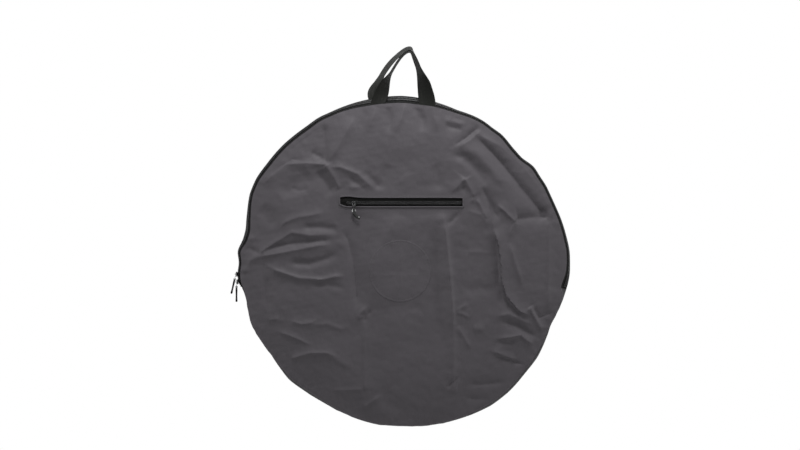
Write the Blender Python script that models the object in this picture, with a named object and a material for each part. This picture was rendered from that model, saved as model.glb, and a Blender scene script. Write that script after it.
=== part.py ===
"""Round soft bag for one bicycle wheel, hung by its two carrying handles.

Two round cloth panels are sewn to a narrow band. Over the top the band is the two tapes of a
long zip, and round the bottom it is a plain cloth gusset. The front panel carries a zipped
pocket. Its part above a fold line swings forward and down when the long zip is open.

Metres, +Z up. +X is to the right and the front of the bag faces -Y. The origin is the point of
the hook that the handles hang on. Angles round the bag run anticlockwise from +X, as seen from
the front.
"""
import math

import bmesh
import bpy
import numpy as np
from mathutils import Vector

# Bag: panels and band
BAG_RADIUS = 0.375
BAND_WIDTH = 0.016
BAND_THICKNESS = 0.0012
CLOTH_THICKNESS = 0.0016
CROWN_DEPTH = 0.0125
CROWN_RUN = 0.115
SEAM_STEP = 0.0005
SEAM_TURN_IN = 0.0029
SEWN_GAP = 0.0003
CREASE_BELOW_CENTRE = 0.012
CREASE_TO_HINGE = 0.0049
PANEL_FACETS = 96
BAND_FACET_DEGREES = 3.0
CROWN_RING_SHARES = (0.0, 0.12, 0.28, 0.5, 0.75, 1.0)

# Where the bag hangs
HANG_DROP = 0.477
HANG_SHIFT = 0.018

# Round patch over each hub
PATCH_RADIUS = 0.070
PATCH_THICKNESS = 0.0008
PATCH_LEFT = 0.0046
PATCH_DOWN = 0.0194
PATCH_FACETS = 48

# Zip chain, long and pocket alike
COIL_HALF_WIDTH = 0.0030
COIL_HEIGHT = 0.0020
CHAIN_SLIT = 0.0012
STOP_LENGTH = 0.0025
STOP_HALF_WIDTH = 0.0032
STOP_HEIGHT = 0.0022
ZIP_END_BELOW_CENTRE = 0.060
TAPE_PAST_STOP = 0.0040

# Slider
SLIDER_LENGTH = 0.012
SLIDER_HALF_WIDTH = 0.0046
SLIDER_PLATE = 0.0011
SLIDER_RUNNING_GAP = 0.0006
SLIDER_LIP = 0.0011
POST_THICKNESS = 0.0006
POST_LENGTH = 0.0040
POST_FROM_END = 0.0010
BAIL_HALF_LENGTH = 0.0034
BAIL_HALF_WIDTH = 0.0013
BAIL_EYE_HALF_LENGTH = 0.0020
BAIL_EYE_HEIGHT = 0.0024
BAIL_WALL = 0.0011

# Wire link and moulded grip of a slider
WIRE = 0.0012
LINK_INNER_HALF_WIDTH = 0.0018
LINK_PITCH = 0.0115
GRIP_LENGTH = 0.0340
GRIP_HALF_WIDTH = 0.0043
GRIP_HALF_THICKNESS = 0.0018
GRIP_EYE_RADIUS = 0.0026
GRIP_EYE_BORE_RADIUS = 0.00115
GRIP_EYE_HALF_WIDTH = 0.0015
GRIP_NECK_FROM_BORE = 0.0015
GRIP_EYE_FACETS = 14
GRIP_BEND_DEGREES = -55.0
GRIP_STATION_SHARES = (0.0, 0.05, 0.13, 0.24, 0.40, 0.55, 0.70, 0.85, 0.94, 1.0)
GRIP_WIDTH_SHARES = (0.35, 0.62, 0.90, 1.0, 0.97, 0.92, 0.88, 0.86, 0.80, 0.52)
GRIP_DEPTH_SHARES = (0.95, 0.98, 1.0, 0.96, 0.88, 0.84, 0.84, 0.98, 1.0, 0.62)
GRIP_CORNER_SHARE = 0.62

# Long zip's two sliders, parked at the left end
UPPER_SLIDER_BELOW_CENTRE = 0.027
SLIDER_PARKING_PITCH = 0.0172
UPPER_GRIP_LEAN_DEGREES = 17.0

# Pocket
POCKET_ZIP_ABOVE_CENTRE = 0.135
POCKET_ZIP_HALF_LENGTH = 0.1393
POCKET_ZIP_RIGHT_SHIFT = -0.0016
POCKET_TAPE_WIDTH = 0.0164
POCKET_LEFT_STOP_IN = 0.0170
POCKET_RIGHT_STOP_IN = 0.0040
POCKET_SLIDER_FROM_LEFT_STOP = 0.0170
POCKET_LINK_DROP = 0.0035
POCKET_BAG_BOTTOM_ABOVE_CREASE = 0.020
POCKET_BAG_ABOVE_ZIP = 0.006
POCKET_BAG_SIDE = 0.004
POCKET_SEAM_DEPTH = 0.0058
POCKET_SHEET = 0.0008

# Handles
WEBBING_WIDTH = 0.038
WEBBING_THICKNESS = 0.0018
HANDLE_HALF_SPACING = 0.058
HANDLE_BASE_OVERLAP = 0.0030
HANDLE_BASE_CLEARANCE = 0.0006
GRIP_GAP_BETWEEN_HANDLES = 0.002
FRONT_GRIP_RISE = 0.008
REAR_GRIP_RISE = 0.015
LEG_BULGE = -0.009
LEG_LEVEL_SHARE = 0.32
REAR_LEFT_LEG_BULGE = 0.003
REAR_LEFT_LEG_LEVEL_SHARE = 0.59
LEG_UPRIGHT_SHARE = 0.30
LEG_TURN_START = 0.04
LEG_TURN_END = 0.66
HANDLE_ROWS = 41

# Worked out from the above
BAND_HALF_WIDTH = BAND_WIDTH / 2
BAND_INNER_RADIUS = BAG_RADIUS - BAND_THICKNESS
FLANGE_RADIUS = BAND_INNER_RADIUS - SEWN_GAP
RIM_HALF_DEPTH = BAND_HALF_WIDTH + SEAM_STEP
CROWN_HALF_DEPTH = RIM_HALF_DEPTH + CROWN_DEPTH
SLIT_HALF_WIDTH = CHAIN_SLIT / 2
BAG_CENTRE = Vector((-HANG_SHIFT, 0.0, -HANG_DROP))
COIL_TOP = SEWN_GAP + COIL_HEIGHT
PATCH_OUTER_DEPTH = CROWN_HALF_DEPTH + SEWN_GAP + PATCH_THICKNESS
HINGE_DEPTH = PATCH_OUTER_DEPTH + CREASE_TO_HINGE
PLATE_UNDERSIDE = COIL_TOP + SLIDER_RUNNING_GAP
PLATE_TOP = PLATE_UNDERSIDE + SLIDER_PLATE
INNER_PLATE_TOP = -BAND_THICKNESS - SLIDER_RUNNING_GAP
INNER_PLATE_UNDERSIDE = INNER_PLATE_TOP - SLIDER_PLATE
LINK_AXIS_HEIGHT = PLATE_TOP + BAIL_EYE_HEIGHT / 2

CLOTH_GREY = (0.085, 0.085, 0.088)
WEBBING_BLACK = (0.016, 0.017, 0.016)
TAPE_BLACK = (0.014, 0.014, 0.015)
COIL_GREY = (0.030, 0.030, 0.032)
LINING_GREY = (0.060, 0.060, 0.063)
METAL_GREY = (0.46, 0.47, 0.48)
RUBBER_BLACK = (0.008, 0.008, 0.009)


def clear_scene():
    """Remove the objects that a new scene starts with."""
    for item in list(bpy.data.objects):
        bpy.data.objects.remove(item, do_unlink=True)


def make_finish(name, colour, roughness, metallic=0.0):
    """Principled material of one colour."""
    material = bpy.data.materials.new(name)
    material.use_nodes = True
    shader = material.node_tree.nodes["Principled BSDF"]
    shader.inputs["Base Color"].default_value = (*colour, 1.0)
    shader.inputs["Roughness"].default_value = roughness
    shader.inputs["Metallic"].default_value = metallic
    return material


def add_axis(name, location, parent=None, turn=(0.0, 0.0, 0.0)):
    """Empty that carries what moves or sits together."""
    empty = bpy.data.objects.new(name, None)
    empty.empty_display_size = WEBBING_WIDTH
    empty.parent = parent
    empty.location = location
    empty.rotation_euler = turn
    bpy.context.collection.objects.link(empty)
    return empty


def add_piece(name, mesh, colour, roughness, parent, metallic=0.0, location=(0.0, 0.0, 0.0),
              turn=(0.0, 0.0, 0.0)):
    """Named object of one sub-part with a material of its own."""
    if mesh.users:
        mesh = mesh.copy()
    mesh.name = name
    mesh.materials.clear()
    mesh.materials.append(make_finish(name + "_finish", colour, roughness, metallic))
    mesh.shade_smooth()
    mesh.set_sharp_from_angle(angle=math.radians(30.0))
    piece = bpy.data.objects.new(name, mesh)
    piece.parent = parent
    piece.location = location
    piece.rotation_euler = turn
    bpy.context.collection.objects.link(piece)
    return piece


def mesh_from(points, faces):
    """Closed mesh from points and faces, with its faces turned outwards."""
    mesh = bpy.data.meshes.new("shape")
    mesh.from_pydata([tuple(point) for point in points], [], faces)
    bm = bmesh.new()
    bm.from_mesh(mesh)
    bmesh.ops.recalc_face_normals(bm, faces=bm.faces)
    bm.to_mesh(mesh)
    bm.free()
    return mesh


def box_mesh(low, high):
    """Box between two corners."""
    bm = bmesh.new()
    bmesh.ops.create_cube(bm, size=1.0)
    low = Vector(low)
    high = Vector(high)
    for vert in bm.verts:
        vert.co = Vector(((high - low)[i] * vert.co[i] + (high + low)[i] / 2 for i in range(3)))
    mesh = bpy.data.meshes.new("box")
    bm.to_mesh(mesh)
    bm.free()
    return mesh


def loft_mesh(rings, closed=False):
    """Skin through rings of equal point count, capped at both ends or joined round."""
    rows = len(rings)
    count = len(rings[0])
    points = [point for ring in rings for point in ring]
    faces = []
    for row in range(rows if closed else rows - 1):
        near = row * count
        far = ((row + 1) % rows) * count
        for i in range(count):
            j = (i + 1) % count
            faces.append((near + i, near + j, far + j, far + i))
    if not closed:
        faces.append(tuple(range(count)))
        faces.append(tuple(range((rows - 1) * count, rows * count)))
    return mesh_from(points, faces)


def cut_mesh(body, tools, operation="DIFFERENCE"):
    """Mesh of a body after exact Booleans with a list of tool meshes."""
    target = bpy.data.objects.new("body", body)
    bpy.context.collection.objects.link(target)
    helpers = []
    for tool in tools:
        cutter = bpy.data.objects.new("cutter", tool)
        cutter.hide_render = True
        cutter.display_type = 'WIRE'
        bpy.context.collection.objects.link(cutter)
        boolean = target.modifiers.new("cut", 'BOOLEAN')
        boolean.operation = operation
        boolean.object = cutter
        helpers.append(cutter)
    graph = bpy.context.evaluated_depsgraph_get()
    result = bpy.data.meshes.new_from_object(target.evaluated_get(graph))
    for item in (target, *helpers):
        bpy.data.objects.remove(item, do_unlink=True)
    return result


def on_band(angle, radius):
    """X and Z of a point at an angle and a radius round the bag's middle."""
    return radius * math.cos(angle), radius * math.sin(angle)


def band_mesh(start, end, near_y, far_y, inner_radius, outer_radius):
    """Strip bent round the bag's middle from one angle to the other."""
    steps = max(2, math.ceil(abs(end - start) / math.radians(BAND_FACET_DEGREES)))
    rings = []
    for angle in np.linspace(start, end, steps + 1):
        inner_x, inner_z = on_band(angle, inner_radius)
        outer_x, outer_z = on_band(angle, outer_radius)
        rings.append([(inner_x, near_y, inner_z), (outer_x, near_y, outer_z),
                      (outer_x, far_y, outer_z), (inner_x, far_y, inner_z)])
    return loft_mesh(rings)


def crown_depth(share):
    """Half depth of a panel's outer face, from its seam (0) to its flat middle (1)."""
    return RIM_HALF_DEPTH + CROWN_DEPTH * math.sin(share * math.pi / 2)


def panel_profile():
    """Radius and depth round a panel's wall: seam allowance, crown and back inside."""
    turn_in = RIM_HALF_DEPTH - SEAM_TURN_IN
    outer = [(FLANGE_RADIUS, turn_in)]
    inner = [(FLANGE_RADIUS - CLOTH_THICKNESS, turn_in)]
    for share in CROWN_RING_SHARES:
        radius = FLANGE_RADIUS - CROWN_RUN * share
        depth = crown_depth(share)
        outer.append((radius, depth))
        inner.append((radius - CLOTH_THICKNESS * (1.0 - share), depth - CLOTH_THICKNESS))
    return outer, inner


def panel_mesh(side):
    """Round crowned panel, side -1 in front and +1 behind, as a shell turned round the middle."""
    outer, inner = panel_profile()
    profile = inner[::-1] + outer
    angles = np.linspace(0.0, 2 * math.pi, PANEL_FACETS, endpoint=False)
    points = []
    for angle in angles:
        for radius, depth in profile:
            x, z = on_band(angle, radius)
            points.append((x, side * depth, z))
    count = len(profile)
    faces = []
    for column in range(PANEL_FACETS):
        near = column * count
        far = ((column + 1) % PANEL_FACETS) * count
        for i in range(count - 1):
            faces.append((near + i, near + i + 1, far + i + 1, far + i))
    faces.append(tuple(column * count for column in range(PANEL_FACETS)))
    faces.append(tuple(column * count + count - 1 for column in range(PANEL_FACETS)))
    return mesh_from(points, faces)


def crease_box(above):
    """Box that holds all of the bag on one side of the fold line, clear of it by half a gap."""
    reach = BAG_RADIUS * 2
    line = -CREASE_BELOW_CENTRE
    if above:
        return box_mesh((-reach, -reach, line + SEWN_GAP / 2), (reach, reach, reach))
    return box_mesh((-reach, -reach, -reach), (reach, reach, line - SEWN_GAP / 2))


def patch_mesh(side):
    """Flat round patch on a panel's outer face."""
    rings = []
    near = CROWN_HALF_DEPTH + SEWN_GAP
    far = near + PATCH_THICKNESS
    for depth in (near, far):
        ring = []
        for i in range(PATCH_FACETS):
            x, z = on_band(2 * math.pi * i / PATCH_FACETS, PATCH_RADIUS)
            ring.append((x - PATCH_LEFT, side * depth, z - PATCH_DOWN))
        rings.append(ring)
    return loft_mesh(rings)


def pocket_frame():
    """Edges of the pocket zip's window: left, right, bottom, top."""
    middle = POCKET_ZIP_RIGHT_SHIFT
    half = POCKET_TAPE_WIDTH / 2
    return (middle - POCKET_ZIP_HALF_LENGTH, middle + POCKET_ZIP_HALF_LENGTH,
            POCKET_ZIP_ABOVE_CENTRE - half, POCKET_ZIP_ABOVE_CENTRE + half)


def build_panels(bag, flap):
    """Rear panel, front panel below and above the fold line, and the round hub patches."""
    add_piece("rear_panel", panel_mesh(1), CLOTH_GREY, 0.75, bag)
    add_piece("rear_hub_patch", patch_mesh(1), CLOTH_GREY, 0.7, bag)
    lower = cut_mesh(panel_mesh(-1), [crease_box(False)], 'INTERSECT')
    add_piece("front_panel_lower", lower, CLOTH_GREY, 0.75, bag)
    lower_patch = cut_mesh(patch_mesh(-1), [crease_box(False)], 'INTERSECT')
    add_piece("front_hub_patch_lower", lower_patch, CLOTH_GREY, 0.7, bag)

    left, right, bottom, top = pocket_frame()
    window = box_mesh((left, -BAG_RADIUS, bottom), (right, 0.0, top))
    upper = cut_mesh(cut_mesh(panel_mesh(-1), [crease_box(True)], 'INTERSECT'), [window])
    upper_patch = cut_mesh(patch_mesh(-1), [crease_box(True)], 'INTERSECT')
    back = tuple(-part for part in hinge_place())
    add_piece("front_panel_upper", upper, CLOTH_GREY, 0.75, flap, location=back)
    add_piece("front_hub_patch_upper", upper_patch, CLOTH_GREY, 0.7, flap, location=back)


def hinge_place():
    """Point of the fold line's axis, from the bag's middle."""
    return (0.0, -HINGE_DEPTH, -CREASE_BELOW_CENTRE)


def zip_angles():
    """Angles of the band: right tape end, right stop, left stop, left tape end and fold line."""
    tape_end = math.asin(ZIP_END_BELOW_CENTRE / BAG_RADIUS)
    stop = tape_end - TAPE_PAST_STOP / BAG_RADIUS
    crease = math.asin(CREASE_BELOW_CENTRE / BAG_RADIUS)
    return tape_end, stop, crease


def build_band(bag, flap):
    """Bottom gusset, both tapes and both coil halves of the long zip, and its end stops."""
    tape_end, stop, crease = zip_angles()
    half_gap = SEWN_GAP / 2 / BAG_RADIUS
    straight = math.pi
    coil_end = stop - (STOP_LENGTH + SEWN_GAP) / BAG_RADIUS
    coil_inner = BAG_RADIUS + SEWN_GAP
    coil_outer = BAG_RADIUS + COIL_TOP

    gusset = band_mesh(-straight + tape_end + 2 * half_gap, -tape_end - 2 * half_gap,
                       -BAND_HALF_WIDTH, BAND_HALF_WIDTH, BAND_INNER_RADIUS, BAG_RADIUS)
    add_piece("bottom_gusset", gusset, CLOTH_GREY, 0.75, bag)

    def add_run(name, start, end, kind, side, parent):
        """One stretch of tape or coil on one side of the slit."""
        if kind == "tape":
            limits = (BAND_HALF_WIDTH, BAND_INNER_RADIUS, BAG_RADIUS)
            colour = TAPE_BLACK
        else:
            limits = (COIL_HALF_WIDTH, coil_inner, coil_outer)
            colour = COIL_GREY
        width, inner, outer = limits
        mesh = band_mesh(start, end, side * SLIT_HALF_WIDTH, side * width, inner, outer)
        place = (0.0, 0.0, 0.0)
        if parent is flap:
            place = tuple(-part for part in hinge_place())
        add_piece(name, mesh, colour, 0.6, parent, location=place)

    for kind, end in (("tape", tape_end), ("coil", coil_end)):
        add_run("main_zip_rear_" + kind, -end, straight + end, kind, 1, bag)
        add_run("main_zip_front_" + kind, -crease + half_gap, straight + crease - half_gap,
                kind, -1, flap)
        add_run("main_zip_front_" + kind + "_right_end", -end, -crease - half_gap, kind, -1, bag)
        add_run("main_zip_front_" + kind + "_left_end", straight + crease + half_gap,
                straight + end, kind, -1, bag)

    stop_outer = coil_inner + STOP_HEIGHT
    stop_start = stop - STOP_LENGTH / BAG_RADIUS
    for name, start, end in (("main_zip_right_stop", -stop, -stop_start),
                             ("main_zip_left_stop", straight + stop_start, straight + stop)):
        mesh = band_mesh(start, end, -STOP_HALF_WIDTH, STOP_HALF_WIDTH, coil_inner, stop_outer)
        add_piece(name, mesh, METAL_GREY, 0.35, bag, metallic=1.0)


def slider_mesh():
    """Slider on a chain along X, with the tape's outer face at Z = 0 and its middle at Y = 0."""
    half = SLIDER_LENGTH / 2
    wide = SLIDER_HALF_WIDTH
    outline = [(-wide, SLIDER_RUNNING_GAP), (-wide, PLATE_TOP), (wide, PLATE_TOP),
               (wide, SLIDER_RUNNING_GAP), (wide - SLIDER_LIP, SLIDER_RUNNING_GAP),
               (wide - SLIDER_LIP, PLATE_UNDERSIDE), (-wide + SLIDER_LIP, PLATE_UNDERSIDE),
               (-wide + SLIDER_LIP, SLIDER_RUNNING_GAP)]
    top = loft_mesh([[(x, y, z) for y, z in outline] for x in (-half, half)])
    bottom = box_mesh((-half, -wide, INNER_PLATE_UNDERSIDE), (half, wide, INNER_PLATE_TOP))
    sink = SLIDER_PLATE / 2
    post = box_mesh((half - POST_FROM_END - POST_LENGTH, -POST_THICKNESS / 2,
                     INNER_PLATE_TOP - sink),
                    (half - POST_FROM_END, POST_THICKNESS / 2, PLATE_UNDERSIDE + sink))
    arch = [(-BAIL_HALF_LENGTH, PLATE_TOP - sink),
            (-BAIL_HALF_LENGTH, PLATE_TOP + BAIL_EYE_HEIGHT),
            (-BAIL_EYE_HALF_LENGTH, PLATE_TOP + BAIL_EYE_HEIGHT + BAIL_WALL),
            (BAIL_EYE_HALF_LENGTH, PLATE_TOP + BAIL_EYE_HEIGHT + BAIL_WALL),
            (BAIL_HALF_LENGTH, PLATE_TOP + BAIL_EYE_HEIGHT),
            (BAIL_HALF_LENGTH, PLATE_TOP - sink),
            (BAIL_EYE_HALF_LENGTH, PLATE_TOP - sink),
            (BAIL_EYE_HALF_LENGTH, PLATE_TOP + BAIL_EYE_HEIGHT),
            (-BAIL_EYE_HALF_LENGTH, PLATE_TOP + BAIL_EYE_HEIGHT),
            (-BAIL_EYE_HALF_LENGTH, PLATE_TOP - sink)]
    bail = loft_mesh([[(x, y, z) for x, z in arch] for y in (-BAIL_HALF_WIDTH, BAIL_HALF_WIDTH)])
    return cut_mesh(top, [bottom, post, bail], 'UNION')


def link_mesh():
    """Square wire ring in the XY plane: its near bar is on the origin, its far bar at -X."""
    inner = LINK_INNER_HALF_WIDTH
    outer = inner + WIRE
    near = WIRE / 2
    ring_in = [(-near, -inner), (-LINK_PITCH + near, -inner), (-LINK_PITCH + near, inner),
               (-near, inner)]
    ring_out = [(near, -outer), (-LINK_PITCH - near, -outer), (-LINK_PITCH - near, outer),
                (near, outer)]
    rings = []
    for (in_x, in_y), (out_x, out_y) in zip(ring_in, ring_out):
        rings.append([(in_x, in_y, -near), (out_x, out_y, -near), (out_x, out_y, near),
                      (in_x, in_y, near)])
    return loft_mesh(rings, closed=True)


def grip_mesh(bend_degrees):
    """Moulded grip along -X, its eye's bore along Y on the origin, bent sideways by an angle."""
    half = GRIP_EYE_HALF_WIDTH
    rings = []
    for y in (-half, half):
        rings.append([(GRIP_EYE_RADIUS * math.cos(2 * math.pi * i / GRIP_EYE_FACETS), y,
                       GRIP_EYE_RADIUS * math.sin(2 * math.pi * i / GRIP_EYE_FACETS))
                      for i in range(GRIP_EYE_FACETS)])
    eye = loft_mesh(rings)
    rings = []
    for y in (-2 * half, 2 * half):
        rings.append([(GRIP_EYE_BORE_RADIUS * math.cos(2 * math.pi * i / GRIP_EYE_FACETS), y,
                       GRIP_EYE_BORE_RADIUS * math.sin(2 * math.pi * i / GRIP_EYE_FACETS))
                      for i in range(GRIP_EYE_FACETS)])
    bore = loft_mesh(rings)

    run = GRIP_LENGTH - GRIP_NECK_FROM_BORE
    bend = math.radians(bend_degrees)
    straight_share = GRIP_STATION_SHARES[3]
    rings = []
    for share, width_share, depth_share in zip(GRIP_STATION_SHARES, GRIP_WIDTH_SHARES,
                                               GRIP_DEPTH_SHARES):
        turned = bend * max(0.0, share - straight_share) / (1.0 - straight_share)
        along = GRIP_NECK_FROM_BORE + run * min(share, straight_share)
        side = 0.0
        if turned:
            radius = run * (1.0 - straight_share) / bend
            along += radius * math.sin(turned)
            side = radius * (1.0 - math.cos(turned))
        elif share > straight_share:
            along += run * (share - straight_share)
        width = GRIP_HALF_WIDTH * width_share
        depth = GRIP_HALF_THICKNESS * depth_share
        corner = GRIP_CORNER_SHARE
        outline = [(-width, -depth * corner), (-width * corner, -depth), (width * corner, -depth),
                   (width, -depth * corner), (width, depth * corner), (width * corner, depth),
                   (-width * corner, depth), (-width, depth * corner)]
        ring = []
        for across, up in outline:
            ring.append((-(along - across * math.sin(turned)), side + across * math.cos(turned),
                         up))
        rings.append(ring)
    body = loft_mesh(rings)
    return cut_mesh(cut_mesh(body, [eye], 'UNION'), [bore])


def band_turn(below_centre):
    """Turn about Y that takes the top of the band to a point on its left side."""
    return -(math.pi / 2 + math.asin(below_centre / BAG_RADIUS))


def build_main_sliders(bag):
    """Two sliders parked at the left end of the long zip, each with its link and grip."""
    body = slider_mesh()
    link = link_mesh()
    grip = grip_mesh(0.0)
    lower_below = UPPER_SLIDER_BELOW_CENTRE + SLIDER_PARKING_PITCH
    plumb = math.asin(lower_below / BAG_RADIUS)
    parked = (("upper", UPPER_SLIDER_BELOW_CENTRE, math.radians(UPPER_GRIP_LEAN_DEGREES)),
              ("lower", lower_below, plumb))
    for name, below, lean in parked:
        axis = add_axis(name + "_slider_axis", (0.0, 0.0, 0.0), bag, (0.0, band_turn(below), 0.0))
        place = (0.0, 0.0, BAG_RADIUS)
        slider = add_piece(name + "_slider_body", body, METAL_GREY, 0.3, axis, 1.0, place)
        wire = add_piece(name + "_slider_link", link, METAL_GREY, 0.25, slider, 1.0,
                         (0.0, 0.0, LINK_AXIS_HEIGHT), (0.0, lean, 0.0))
        add_piece(name + "_slider_grip", grip, RUBBER_BLACK, 0.25, wire, 0.0,
                  (-LINK_PITCH, 0.0, 0.0))


def pocket_stops():
    """Inner ends of the pocket zip's left and right stops along X."""
    left, right, _, _ = pocket_frame()
    return left + POCKET_LEFT_STOP_IN, right - POCKET_RIGHT_STOP_IN


def build_pocket(flap):
    """Pocket zip, its slider with link and grip, and the pocket bag's sheets and seam."""
    left, right, bottom, top = pocket_frame()
    left_stop, right_stop = pocket_stops()
    centre = POCKET_ZIP_ABOVE_CENTRE
    face = -CROWN_HALF_DEPTH
    back = tuple(-part for part in hinge_place())
    tape_back = face + BAND_THICKNESS

    for name, near, far in (("upper", centre + SLIT_HALF_WIDTH, top - SEWN_GAP),
                            ("lower", bottom + SEWN_GAP, centre - SLIT_HALF_WIDTH)):
        tape = box_mesh((left + SEWN_GAP, face, near), (right - SEWN_GAP, tape_back, far))
        add_piece("pocket_zip_" + name + "_tape", tape, TAPE_BLACK, 0.6, flap, location=back)
    for name, side in (("upper", 1), ("lower", -1)):
        edges = sorted((centre + side * SLIT_HALF_WIDTH, centre + side * COIL_HALF_WIDTH))
        coil = box_mesh((left_stop + SEWN_GAP, face - COIL_TOP, edges[0]),
                        (right_stop - SEWN_GAP, face - SEWN_GAP, edges[1]))
        add_piece("pocket_zip_" + name + "_coil", coil, COIL_GREY, 0.6, flap, location=back)
    for name, start, end in (("left", left_stop - STOP_LENGTH, left_stop),
                             ("right", right_stop, right_stop + STOP_LENGTH)):
        stop = box_mesh((start, face - SEWN_GAP - STOP_HEIGHT, centre - STOP_HALF_WIDTH),
                        (end, face - SEWN_GAP, centre + STOP_HALF_WIDTH))
        add_piece("pocket_zip_" + name + "_stop", stop, METAL_GREY, 0.35, flap, 1.0, back)

    slider_x = left_stop + POCKET_SLIDER_FROM_LEFT_STOP
    slider_place = Vector((slider_x, face, centre)) - Vector(hinge_place())
    slider = add_piece("pocket_slider_body", slider_mesh(), METAL_GREY, 0.3, flap, 1.0,
                       slider_place, (math.pi / 2, 0.0, 0.0))
    hang = add_axis("pocket_link_axis", (0.0, 0.0, LINK_AXIS_HEIGHT), slider)
    arm = LINK_INNER_HALF_WIDTH + WIRE / 2
    wire = add_piece("pocket_slider_link", link_mesh(), METAL_GREY, 0.25, hang, 1.0,
                     (-arm, POCKET_LINK_DROP, 0.0), (0.0, 0.0, math.pi / 2))
    add_piece("pocket_slider_grip", grip_mesh(GRIP_BEND_DEGREES), RUBBER_BLACK, 0.25, wire, 0.0,
              (-LINK_PITCH, 0.0, 0.0))

    sheet_front = face + CLOTH_THICKNESS + SEWN_GAP
    sheet_back = sheet_front + POCKET_SHEET
    low = POCKET_BAG_BOTTOM_ABOVE_CREASE - CREASE_BELOW_CENTRE
    high = top + POCKET_BAG_ABOVE_ZIP
    side_left = left - POCKET_BAG_SIDE
    side_right = right + POCKET_BAG_SIDE
    front_sheet = box_mesh((side_left, sheet_front, low), (side_right, sheet_back, high))
    mouth = box_mesh((left_stop - STOP_LENGTH, sheet_front - BAND_WIDTH, bottom),
                     (right_stop + STOP_LENGTH, sheet_back + BAND_WIDTH, top))
    add_piece("pocket_bag_front_sheet", cut_mesh(front_sheet, [mouth]), LINING_GREY, 0.7, flap,
              location=back)
    seam_front = sheet_back + SEWN_GAP
    seam_back = seam_front + POCKET_SEAM_DEPTH
    seam = box_mesh((side_left, seam_front, low), (side_right, seam_back, high))
    hollow = box_mesh((side_left + POCKET_SHEET, seam_front - BAND_WIDTH, low + POCKET_SHEET),
                      (side_right - POCKET_SHEET, seam_back + BAND_WIDTH, high - POCKET_SHEET))
    add_piece("pocket_bag_seam", cut_mesh(seam, [hollow]), LINING_GREY, 0.7, flap,
              location=back)
    rear_front = seam_back + SEWN_GAP
    rear_sheet = box_mesh((side_left, rear_front, low),
                          (side_right, rear_front + POCKET_SHEET, high))
    add_piece("pocket_bag_rear_sheet", rear_sheet, LINING_GREY, 0.7, flap, location=back)


def handle_row(side, rise, legs, share):
    """Corners of a handle's section, where share runs from its left end (0) to its right (1).

    Each leg's middle line is a cubic curve from its sewn end to the top. The webbing lies flat
    on its panel at the sewn end, and turns a quarter about its own line on the way up.
    """
    way = 1.0 if share <= 0.5 else -1.0
    bulge, level_share = legs[0] if share <= 0.5 else legs[1]
    leg = 1.0 - abs(2.0 * share - 1.0)
    rest = 1.0 - leg
    base_depth = RIM_HALF_DEPTH + HANDLE_BASE_CLEARANCE + WEBBING_THICKNESS / 2
    top_depth = (GRIP_GAP_BETWEEN_HANDLES + WEBBING_WIDTH) / 2
    start = Vector((-way * HANDLE_HALF_SPACING, handle_base_height(HANDLE_HALF_SPACING)))
    top = Vector((HANG_SHIFT, HANG_DROP + (rise + WEBBING_THICKNESS) / 2))
    first = start + Vector((-way * bulge, (top.y - start.y) * LEG_UPRIGHT_SHARE))
    second = top - Vector(((top.x - start.x) * level_share, 0.0))
    middle = (start * rest ** 3 + first * 3 * rest ** 2 * leg + second * 3 * rest * leg ** 2
              + top * leg ** 3)
    slope = ((first - start) * rest ** 2 + (second - first) * 2 * rest * leg
             + (top - second) * leg ** 2).normalized() * way
    part = min(max((leg - LEG_TURN_START) / (LEG_TURN_END - LEG_TURN_START), 0.0), 1.0)
    turn = math.pi / 2 * part * part * (3.0 - 2.0 * part)
    tilt = math.asin(rise / WEBBING_WIDTH)
    along = Vector((slope.x, 0.0, slope.y))
    sideways = Vector((slope.y, 0.0, -slope.x)) * way
    level = Vector((0.0, -side * math.cos(tilt), -math.sin(tilt)))
    level = (level - along * level.dot(along)).normalized()
    across = (sideways * way * math.cos(turn) + level * math.sin(turn)).normalized()
    normal = along.cross(across)
    depth = base_depth + (top_depth - base_depth) * math.sin(turn)
    centre = Vector((middle.x, side * depth, middle.y))
    half_wide = across * WEBBING_WIDTH / 2
    half_thick = normal * WEBBING_THICKNESS / 2
    return [centre - half_wide - half_thick, centre + half_wide - half_thick,
            centre + half_wide + half_thick, centre - half_wide + half_thick]


def handle_base_height(x):
    """Height of a handle's sewn edge, which follows the rim, above the bag's middle."""
    return math.sqrt((BAG_RADIUS - HANDLE_BASE_OVERLAP) ** 2 - x ** 2)


def handle_mesh(side, rise, legs, hinge):
    """Webbing loop whose two ends are cut to the curve of the rim."""
    rings = [handle_row(side, rise, legs, row / (HANDLE_ROWS - 1)) for row in range(HANDLE_ROWS)]
    trims = []
    for ring in (rings[0], rings[-1]):
        trims.append([handle_base_height(point.x) - point.z for point in ring])
    for row, ring in enumerate(rings):
        share = row / (HANDLE_ROWS - 1)
        trim = trims[0] if share <= 0.5 else trims[1]
        leg = 1.0 - abs(2.0 * share - 1.0)
        fade = max(0.0, 1.0 - leg / LEG_UPRIGHT_SHARE)
        for point, lift in zip(ring, trim):
            point.z += lift * fade
    return loft_mesh([[point - Vector(hinge) for point in ring] for ring in rings])


def handle_hinge(side):
    """Point of a handle's seam axis, from the bag's middle: low and clear of its panel."""
    depth = RIM_HALF_DEPTH + HANDLE_BASE_CLEARANCE + WEBBING_THICKNESS
    return (0.0, side * depth, handle_base_height(HANDLE_HALF_SPACING + WEBBING_WIDTH / 2))


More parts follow.
